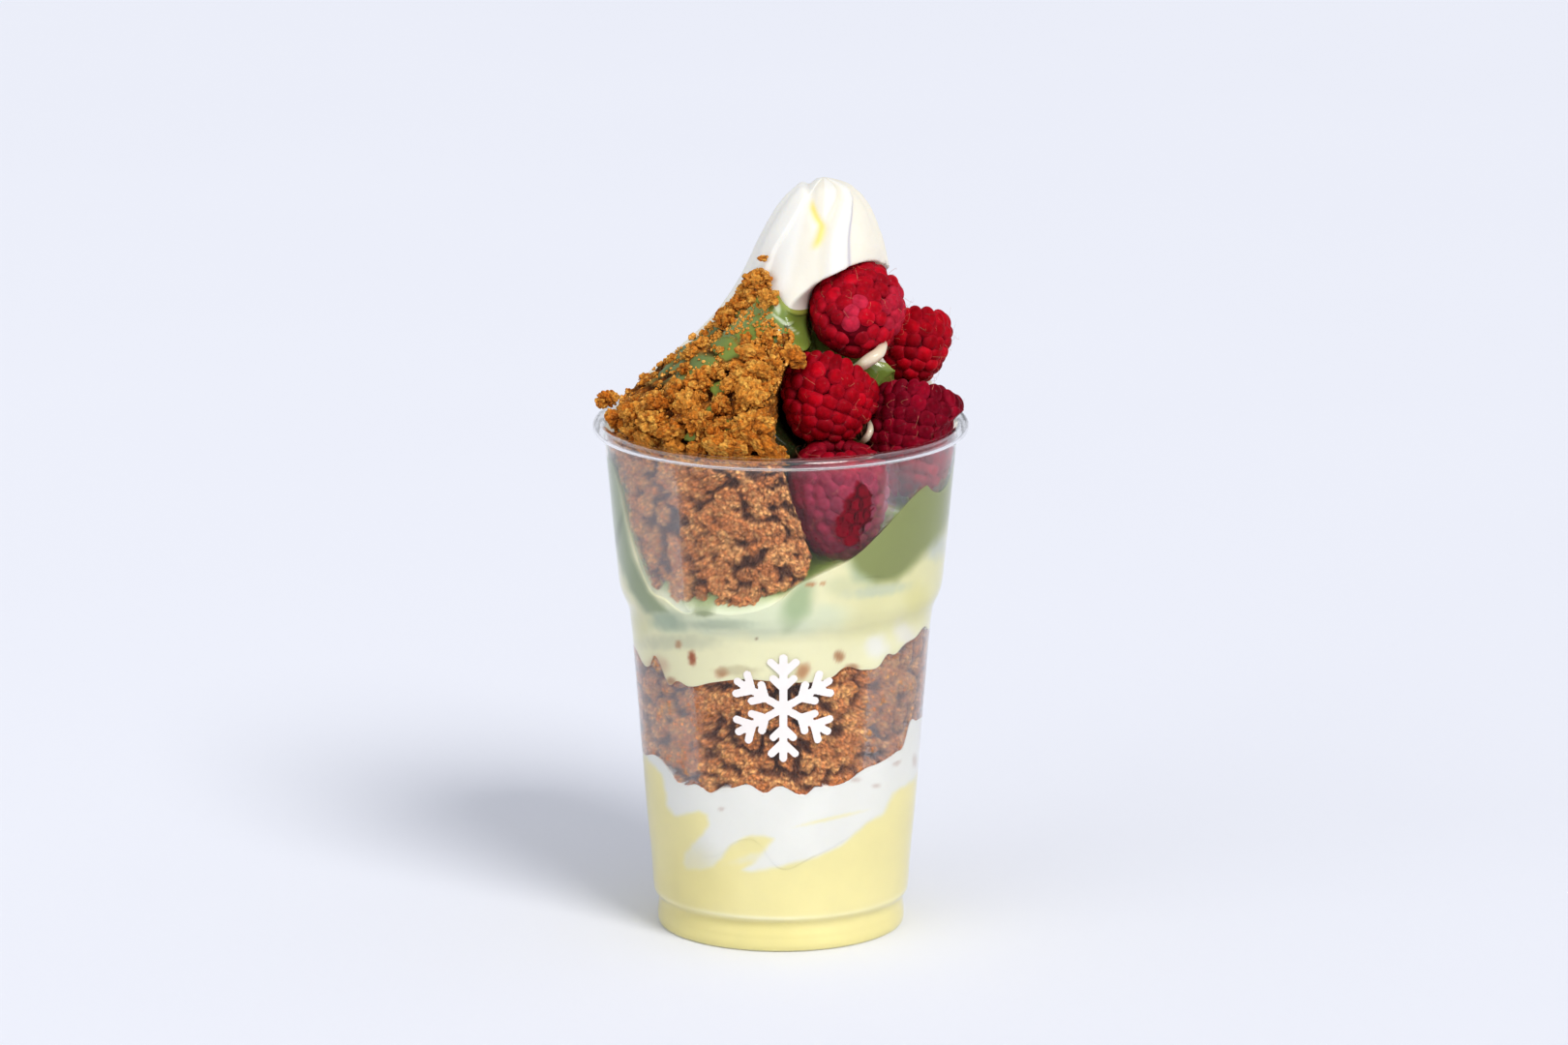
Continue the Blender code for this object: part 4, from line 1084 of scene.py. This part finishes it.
def knobbly(centre, size, turn, seed, level):
    """A crumb cluster, an oval of three radii with lumps and grains, and its paint."""
    sphere, faces = SPHERES[level]
    shape = sphere * (1 + 0.34 * noise(sphere, 0.9, seed)[:, None])
    p = (shape * np.asarray(size)) @ turn.T
    reach = min(min(size) / 2.4, 1.0)
    lump, tone = crumbled(p, 3.0 * max(reach, 0.5), seed)
    fine, fine_tone = granules(p, mix(0.6, 0.78, reach), seed + 3)
    dent = 0.9 * (1 - lump) - 0.9 * noise(p, 2.2, seed + 1) - 0.4 * noise(p, 0.9, seed + 2)
    dent = dent + 0.32 * (1 - fine)
    out = p / np.linalg.norm(p, axis=1)[:, None]
    paint = crumb_colours(*GOLD, (dent * 1.1, tone, fine, fine_tone))
    light = RNG.uniform(-0.3, 0.4)
    paint = blend(paint, GOLD[2] if light > 0 else GOLD[1] * 0.85, np.full(len(p), abs(light)))
    return p - out * (dent * reach)[:, None] + centre, faces, paint


def view_turn(tilt):
    """Axes of a body laid across the view and turned by tilt: width, height, depth."""
    t = math.radians(tilt)
    across = RIGHT * math.cos(t) + UP * math.sin(t)
    along = UP * math.cos(t) - RIGHT * math.sin(t)
    return np.stack([across, along, AHEAD], 1)


def drawn_in(points, limit):
    """Points moved towards the cup's axis where they lie beyond a radius."""
    radius = np.hypot(points[..., 0], points[..., 1])
    out = points.copy()
    out[..., :2] *= np.minimum(1, limit / np.maximum(radius, 1e-6))[..., None]
    return out


def keep_off_rim(verts):
    """Crumbs lie inside the rim: what would reach the wall is pressed in."""
    z = verts[:, 2]
    above = np.maximum(z - RIM_Z - 0.2, 0) * 0.9
    return drawn_in(verts, inner_wall(np.minimum(z, RIM_Z - 3)) - 0.2 + above)


PERCHED = (((-43.6, -1.0, 136.2), (3.3, 2.3, 2.3), 15), ((-41.2, -6.0, 131.8), (3.9, 3.2, 3.6), -30))


def make_crumbs(look):
    heap = Heap()
    for i, (place, size, tilt) in enumerate(PERCHED):
        verts, faces, paint = knobbly(np.array(place), size, view_turn(tilt), i + 30.5, 5)
        heap.add(keep_off_rim(verts) if i else verts, faces, paint)
    for i, (u, v, w, h, tilt) in enumerate(BIG_CRUMBS):
        place = seat(u, v, on_heap)
        half = np.array((w, h)) / PX / 2
        deep = min(half) * 1.1
        centre = place - view_ray(u, v) * deep * 0.45
        level = 5 if min(half) > 3.0 else 4
        verts, faces, paint = knobbly(centre, (half[0], half[1], deep), view_turn(tilt), i * 1.7, level)
        heap.add(keep_off_rim(verts), faces, paint)
    made = 0
    while made < 130:
        turn = RNG.uniform(0, 360)
        reach = OUTLINE(turn) * math.sqrt(RNG.random()) * 0.97
        angle = HEAP_CENTRE[0] + reach * math.cos(math.radians(turn)) / DEGREE_ARC
        z = HEAP_CENTRE[1] + reach * math.sin(math.radians(turn))
        if z < RIM_Z + 1.5:
            continue
        size = RNG.uniform(0.7, 1.8)
        centre = at(heap_slope(z) - size * 0.1, angle, z, AXIS_LEAN(z))
        if z > 146 and min(heap_wet(angle, z), 1.0) > 0.5 and RNG.random() < 0.75:
            continue
        turned = view_turn(RNG.uniform(0, 180))
        verts, faces, paint = knobbly(centre, size * RNG.uniform(0.7, 1.3, 3), turned, made + 60.0, 3)
        heap.add(keep_off_rim(verts), faces, paint)
        made += 1
    heap.make("crumb_pieces", look)


def make_grains(look):
    heap = Heap()
    sphere, faces = SPHERES[1]
    tries = 15000
    turn = RNG.uniform(0, 360, tries)
    reach = OUTLINE(turn) * np.sqrt(RNG.random(tries)) * 1.02
    angle = HEAP_CENTRE[0] + reach * np.cos(np.radians(turn)) / DEGREE_ARC
    z = HEAP_CENTRE[1] + reach * np.sin(np.radians(turn))
    spots = at(heap_slope(z), angle, z, AXIS_LEAN(z))
    dense = smooth(0.66 + 1.5 * noise(spots, 3.2, 9)) * mix(0.16, 1.0, smooth((z - 143) / 6))
    dense = dense * mix(1.0, 0.45, heap_wet(angle, z))
    keep = (z > RIM_Z + 2) & (RNG.random(tries) < dense)
    for i in np.flatnonzero(keep):
        size = RNG.uniform(0.16, 0.48) * (1.7 if RNG.random() < 0.12 else 1.0)
        radius = heap_slope(z[i]) + size * RNG.uniform(0.0, 0.8)
        centre = at(radius, angle[i], z[i], AXIS_LEAN(z[i]))
        lumpy = sphere * (1 + 0.35 * noise(sphere, 0.8, i)[:, None])
        verts = lumpy * size * RNG.uniform(0.75, 1.3, 3) + centre
        tone = RNG.random()
        heap.add(keep_off_rim(verts), faces, rgb(206, 124, 34) * (1 - tone) + rgb(246, 182, 92) * tone)
    heap.make("crumb_grains", look)


# Cream between the raspberries

FOLDS = (
    ((912, 348, 1.4, 2033), (912, 357, 4.6, 2029.5), (907, 366, 6.4, 2027.5), (897, 373, 6.4, 2027),
     (885, 380, 5.0, 2028), (871, 387, 2.2, 2032)),
    ((897, 432, 1.0, 2036), (899, 440, 3.0, 2032), (898, 448, 3.8, 2031), (893, 455, 3.6, 2032),
     (886, 460, 1.4, 2035)),
)


def make_fold():
    """Glossy lips of cream squeezed out between the raspberries, as bent tapered rolls."""
    heap = Heap()
    for line in FOLDS:
        middle = np.array([EYE + view_ray(u, v) * far for u, v, _, far in line])
        half = np.array([wide / PX for _, _, wide, _ in line])
        t = np.linspace(0, len(line) - 1, 48)
        knots = np.arange(len(line), dtype=float)
        centre = np.stack([hermite(knots, middle[:, k], t) for k in range(3)], -1)
        half = hermite(knots, half, t)
        along = np.gradient(centre, axis=0)
        along /= np.linalg.norm(along, axis=1)[:, None]
        ahead = np.array((0, math.cos(PITCH), -math.sin(PITCH)))
        across = np.cross(along, ahead)
        across /= np.linalg.norm(across, axis=1)[:, None]
        turn = np.radians(np.linspace(0, 360, 33)[:-1])
        ring_points = centre[:, None] + half[:, None, None] * (
            across[:, None] * np.cos(turn)[None, :, None] - ahead * np.sin(turn)[None, :, None] * 1.4
        )
        verts, faces = wrapped(ring_points)
        verts = verts + 0.25 * noise(verts, 3.0, 4)[:, None] * across.mean(0)
        quads = np.array([f if len(f) == 4 else (*f, f[-1]) for f in faces])
        triangles = np.vstack([quads[:, :3], quads[np.array([len(f) == 4 for f in faces])][:, [0, 2, 3]]])
        paint = np.broadcast_to(rgb(232, 216, 188), verts.shape)
        along_it = capped(np.broadcast_to((t / t[-1])[:, None], ring_points.shape[:2]))
        paint = blend(paint, rgb(206, 208, 150), smooth((along_it - 0.62) / 0.3))
        heap.add(verts, triangles, paint)
    look = cream_look("cream_lip", 200, (0.14, 0.22), 0.04, 0.00002, Coat_Weight=0.6, Coat_Roughness=0.05,
                      Subsurface_Weight=0.2, Subsurface_Radius=(1.0, 0.8, 0.6), Subsurface_Scale=0.002)
    heap.make("cream_lips", look)


# Splashes of juice: photo pixel, width and height in pixels
JUICE = (
    (983, 463, 2.0, 4.0), (979, 477, 1.6, 3.0), (975, 486, 2.2, 3.4), (981, 470, 1.2, 2.0),
    (970, 496, 1.6, 1.6), (985, 456, 1.4, 2.4), (972, 491, 1.2, 1.6), (808, 502, 1.2, 1.2),
    (843, 556, 1.4, 1.4),
)


def make_juice():
    """Small splashes of raspberry juice on the inside of the cup's wall."""
    heap = Heap()
    sphere, faces = SPHERES[3]
    for u, v, wide, tall in JUICE:
        reach = np.linspace(1960, 2060, 2500)[:, None]
        p = EYE + reach * view_ray(u, v)
        place = p[np.argmax(np.hypot(p[:, 0], p[:, 1]) < inner_wall(p[:, 2]))]
        angle = math.atan2(place[0], -place[1])
        side = np.array((math.cos(angle), math.sin(angle), 0))
        out = np.array((math.sin(angle), -math.cos(angle), 0))
        spread_out = wide / PX / 2 / max(math.cos(angle), 0.35)
        size = np.array((spread_out, 0.16, tall / PX / 2))
        shape = sphere * (1 + 0.3 * noise(sphere, 0.8, u)[:, None]) * size
        verts = shape @ np.stack([side, out, np.array((0, 0, 1.0))]) + place - out * 0.02
        heap.add(verts, faces, rgb(104, 10, 34))
    look = cream_look("juice", 300, (0.1, 0.2), 0.1, 0.00001)
    heap.make("juice_splashes", look)


# Raspberries

PALE_DRUPELETS = ((890.7, 308), (878.7, 320.6), (871.7, 333))
# the pink of the painted sheen on the drupelets' edges
SHEEN_PINK = rgb(214, 70, 92)
CONTACT = [
    (885, 496), (892, 500), (900, 511), (899, 533), (889, 544), (885, 554), (886, 569), (876, 569),
    (863, 559), (859, 546), (863, 533), (871, 528), (871, 516), (881, 508),
]
TAPER = 0.17


DEEPER = np.array((-0.12, 0.7, 0.25))


def berry_outline(share, length, width, hollow=4.6):
    a = math.pi * np.asarray(share, float)
    radius = width / 2 * np.abs(np.sin(a)) ** 0.8 * (1 + TAPER * np.cos(a))
    z = length / 2 * np.cos(a) - hollow * smooth((0.30 - share) / 0.20)
    return radius, z


def berry_limit(points, gap):
    """Keeps a berry's points inside the cup's wall."""
    z = points[..., 2]
    return drawn_in(points, OUTER(np.minimum(z, 128)) - WALL - gap + np.maximum(z - RIM_Z - 1.2, 0))


def make_berry(index, berry, look, hairs):
    name, centre, up, length, width, colour, notch = berry
    hollow = 1.0 if index == 4 else 4.6
    rng = np.random.default_rng(40 + index)
    turn = np.array(Vector(up).to_track_quat("Z", "Y").to_matrix())
    centre = np.array(centre)
    heap = Heap()

    def placed(points):
        p = points.copy()
        bend = smooth((p[..., 2] / (length / 2) - 0.1) / 0.6)
        p[..., 2] += notch * bend * np.cos(2 * np.arctan2(p[..., 0], p[..., 1]) + 0.9)
        return p @ turn.T + centre

    share = np.concatenate([np.linspace(0.985, 0.27, 30), np.linspace(0.24, 0.2, 3)])
    radius, z = berry_outline(share, length, width, hollow)
    tube_r = np.concatenate([np.maximum(radius - 1.6, 0.4), np.array((0.62, 0.5, 0.34, 0.12)) * radius[-1]])
    tube_z = np.concatenate([z - 0.6 * np.sign(z), np.array((0.5, -0.5, -4.0, -6.5)) + z[-1] - 1.5])
    angles = np.linspace(0, 360, 61)[:-1][None]
    core, faces = wrapped(placed(at(tube_r[:, None], angles, tube_z[:, None])))
    core = berry_limit(core, 0.35)
    heap.add(core, np.array([f if len(f) == 4 else (*f, f[-1]) for f in faces])[:, :3], rgb(96, 4, 18))
    quads = np.array([f for f in faces if len(f) == 4])
    heap.add(core, quads[:, [0, 2, 3]], rgb(96, 4, 18))

    fine = np.linspace(0.10 if index == 4 else 0.25, 1.0, 400)
    r, h = berry_outline(fine, length, width, hollow)
    length_along = np.concatenate([[0], np.cumsum(np.hypot(np.diff(r), np.diff(h)))])
    pitch = 3.4
    rows = int(length_along[-1] / pitch)
    step = length_along[-1] / (rows + 0.35)
    for row in range(rows + 1):
        sphere, sphere_faces = SPHERES[3] if row == 0 else DOME
        place = 1.4 + row * step
        s = np.interp(place, length_along, fine)
        row_r, row_h = berry_outline(s, length, width, hollow)
        ahead_r, ahead_h = berry_outline(min(s + 0.01, 1.0), length, width, hollow)
        slope = np.array((ahead_r - row_r, ahead_h - row_h))
        slope /= max(np.linalg.norm(slope), 1e-6)
        rim = row == 0
        count = max(int(round(2 * math.pi * max(row_r - 1.2, 0.3) / (3.2 if rim else 3.8))), 1)
        for k in range(count):
            around = 360 * (k + 0.5 * (row % 2)) / count + rng.normal(0, 3.2 if count > 1 else 0)
            swell = 1 + rng.normal(0, 0.07)
            arc = 2 * math.pi * max(row_r - 1.4, 0.8) / count
            long = min(step * 0.66, 2.7) * swell * (1.2 if rim else 1.0)
            axes = np.array((min(arc * 0.64, 2.8) * swell, long, 1.95 * swell))
            a = math.radians(around)
            side = np.array((math.cos(a), math.sin(a), 0))
            outward = np.array((math.sin(a), -math.cos(a), 0))
            down = outward * slope[0] + np.array((0, 0, slope[1]))
            normal = np.cross(side, down)
            normal *= np.sign(normal @ (outward * row_r + np.array((0, 0, row_h)))) or 1.0
            middle = outward * row_r + np.array((0, 0, row_h)) - normal * (axes[2] + rng.normal(0, 0.12))
            middle += down * rng.normal(0, 0.25)
            p = (sphere * axes) @ np.stack([side, down, normal]) + middle
            p = placed(p)
            p = berry_limit(p, 0.12)
            tint = np.clip(0.5 + rng.normal(0, 0.28), 0, 1)
            own = blend(colour * 0.84, np.minimum(colour * 1.2 + rgb(4, 2, 3), 255), np.full(len(p), tint))
            pu, pv = project(placed(middle + normal * 2))
            if index == 0 and any(math.hypot(pu - x, pv - y) < 9.5 for x, y in PALE_DRUPELETS):
                own = blend(own, rgb(214, 48, 78), np.full(len(p), 0.8))
            if index == 0 and pu > 919 and 300 < pv < 342:
                own = blend(own, rgb(196, 52, 78), np.full(len(p), 0.5))
            # painted sheen: each drupelet paler pink towards its base, where it meets its neighbours
            sheen_rim = smooth((0.8 - sphere[:, 2]) / 0.16)
            own = blend(own * 0.93, SHEEN_PINK, 0.20 * sheen_rim)
            if index > 2:
                through = smooth((RIM_Z - 2 - p[:, 2]) / 5)
            if index == 3:
                own = own * (1 - through[:, None] * DEEPER)
            if index == 4:
                # painted reflection: the wall's pale mauve veil over the berry below the rim
                own = blend(own, rgb(150, 98, 124), 0.42 * through)
                wet = region(p, CONTACT, 0.7)
                radius = np.hypot(p[:, 0], p[:, 1])
                wall = inner_wall(p[:, 2])
                wet = wet * smooth((radius - wall + 3.2) / 0.8)
                p[:, :2] *= mix(1, (wall + 0.22) / radius, wet)[:, None]
                flushed = mix(rgb(128, 0, 24), rgb(84, 0, 14), smooth((0.62 - sphere[:, 2:3]) / 0.3))
                own = blend(own, flushed, wet)
            heap.add(p, sphere_faces, own)
            if rng.random() < 0.8:
                root = placed(middle + normal * axes[2] * 0.8 + side * axes[0] * rng.choice((-0.8, 0.8)))
                add_hair(hairs, root, placed(middle + normal * 9) - placed(middle), rng)
    heap.make(name, look, [name])


def add_hair(hairs, root, normal, rng):
    """A fine curled hair from a berry, as a three-sided tube."""
    normal = normal / np.linalg.norm(normal)
    lean = np.cross(normal, rng.normal(size=3))
    lean /= np.linalg.norm(lean)
    length = rng.uniform(2.2, 5.6)
    t = np.linspace(0, 1, 7)[:, None]
    curl = rng.uniform(0.4, 1.5)
    side = np.cross(normal, lean)
    path = root + normal * length * 0.28 * np.sin(2.2 * t) + lean * length * (curl * np.sin(2.2 * t)) * 0.5
    path = path + side * length * 0.6 * rng.uniform(-1, 1) * t**2
    thick = 0.045 * (1 - 0.6 * t)
    ends = [path + thick * (lean * math.cos(k * 2.094) + side * math.sin(k * 2.094)) for k in range(3)]
    verts = np.stack(ends, 1).reshape(-1, 3)
    faces = grid_faces(7, 3, True)
    verts = berry_limit(verts, 0.05)
    dark = rng.random() < 0.35
    hairs.add(verts, faces, rgb(74, 40, 34) if dark else rgb(200, 128, 92))


def make_berries():
    look = berry_look()
    hairs = Heap()
    for index, berry in enumerate(BERRIES):
        make_berry(index, berry, look, hairs)
    hairs.make("raspberry_hairs", hair_look())


# Print on the wall: a plain snowflake

PRINT_CENTRE = (1.0, 65.3)
PRINT_ARM = 13.2
STROKE = 1.0


def snowflake_distance(x, y):
    """The distance outside a six-armed snowflake's strokes."""
    best = np.full(x.shape, 99.0)
    for k in range(6):
        a = math.radians(60 * k)
        u = x * math.sin(a) + y * math.cos(a)
        v = x * math.cos(a) - y * math.sin(a)
        segments = [((0, 0), (PRINT_ARM, 0))]
        for start, reach in ((5.2, 2.5), (9.0, 3.0)):
            for sign in (1, -1):
                segments.append(((start, 0), (start + reach, sign * reach * 1.0)))
        for (x0, y0), (x1, y1) in segments:
            dx, dy = x1 - x0, y1 - y0
            t = np.clip(((u - x0) * dx + (v - y0) * dy) / (dx * dx + dy * dy), 0, 1)
            best = np.minimum(best, np.hypot(u - x0 - t * dx, v - y0 - t * dy))
    return best - STROKE


def make_print():
    step = 0.22
    half = PRINT_ARM + 1.6
    line = np.arange(-half, half + step, step)
    x, y = np.meshgrid(line, line)
    d = snowflake_distance(x, y)
    gx = (snowflake_distance(x + 0.02, y) - d) / 0.02
    gy = (snowflake_distance(x, y + 0.02) - d) / 0.02
    snap = np.abs(d) < step * 0.55
    x = np.where(snap, x - d * gx, x)
    y = np.where(snap, y - d * gy, y)
    keep = d < step * 0.55
    faces = grid_faces(*x.shape, False)
    faces = faces[keep.ravel()[faces].all(1)]
    used = np.unique(faces)
    faces = np.searchsorted(used, faces)
    z = PRINT_CENTRE[1] + y.ravel()[used]
    radius = OUTER(z) + 0.03
    angle = PRINT_CENTRE[0] + np.degrees(x.ravel()[used] / OUTER(PRINT_CENTRE[1]))
    verts = at(radius, angle, z)
    look = cream_look("white_print", 300, (0.35, 0.5), 0.03, 0.00001)
    paint = np.broadcast_to(rgb(252, 244, 239), verts.shape)
    piece("printed_snowflake", verts, faces, look, (), paint)


# Floor, light and camera

def area_lamp(name, place, target, size, power, colour=(1, 1, 1)):
    lamp = bpy.data.lights.new(name, "AREA")
    lamp.shape = "DISK"
    lamp.size = size
    lamp.energy = power
    lamp.color = colour
    obj = bpy.data.objects.new(name, lamp)
    obj.location = place
    obj.rotation_euler = (Vector(target) - Vector(place)).to_track_quat("-Z", "Y").to_euler()
    bpy.context.scene.collection.objects.link(obj)


def sun_lamp(name, towards, spread_angle, strength, colour):
    lamp = bpy.data.lights.new(name, "SUN")
    lamp.angle = math.radians(spread_angle)
    lamp.energy = strength
    lamp.color = colour
    obj = bpy.data.objects.new(name, lamp)
    obj.rotation_euler = Vector(towards).to_track_quat("Z", "Y").to_euler()
    bpy.context.scene.collection.objects.link(obj)


def make_camera():
    camera = bpy.data.objects.new("camera", bpy.data.cameras.new("camera"))
    camera.location = EYE * MM
    camera.rotation_euler = (math.pi / 2 - PITCH, 0, 0)
    camera.data.lens = LENS
    camera.data.sensor_width = SENSOR
    camera.data.clip_end = 50
    bpy.context.scene.collection.objects.link(camera)
    bpy.context.scene.camera = camera


def make_stage():
    scene = bpy.context.scene
    scene.view_settings.view_transform = "Standard"
    world = bpy.data.worlds.new("studio")
    world.use_nodes = True
    ground = world.node_tree.nodes["Background"]
    ground.inputs[0].default_value = (0.91, 0.935, 1.0, 1)
    ground.inputs[1].default_value = 0.625
    scene.world = world
    mesh = bpy.data.meshes.new("floor")
    reach = 12.0
    corners = [(-reach, -reach, 0), (reach, -reach, 0), (reach, reach, 0), (-reach, reach, 0)]
    mesh.from_pydata(corners, [], [(0, 1, 2, 3)])
    material, tree, shader, where, _ = surface("floor", Roughness=0.9, Specular_IOR_Level=0.1)
    tree.nodes.remove(tree.nodes["Color Attribute"])
    tone = coloured(tree, grain(tree, where, 4.0), (0.80, 0.815, 0.88, 1), (0.82, 0.835, 0.895, 1))
    tree.links.new(tone, shader.inputs["Base Color"])
    mesh.materials.append(material)
    floor = bpy.data.objects.new("floor", mesh)
    scene.collection.objects.link(floor)
    sun_lamp("key", (0.40, -0.61, 0.69), 23, 2.0, (1.0, 0.985, 0.965))
    area_lamp("fill", (-1.9, -1.7, 1.1), (0, 0, 0.1), 2.4, 14)


make_camera()
make_stage()
make_cup()
make_creams()
make_band()
make_swirl()
make_sauce()
make_heap()
crumb = crumb_look("crumb")
make_crumbs(crumb)
make_grains(crumb)
make_fold()
make_juice()
make_berries()
make_print()
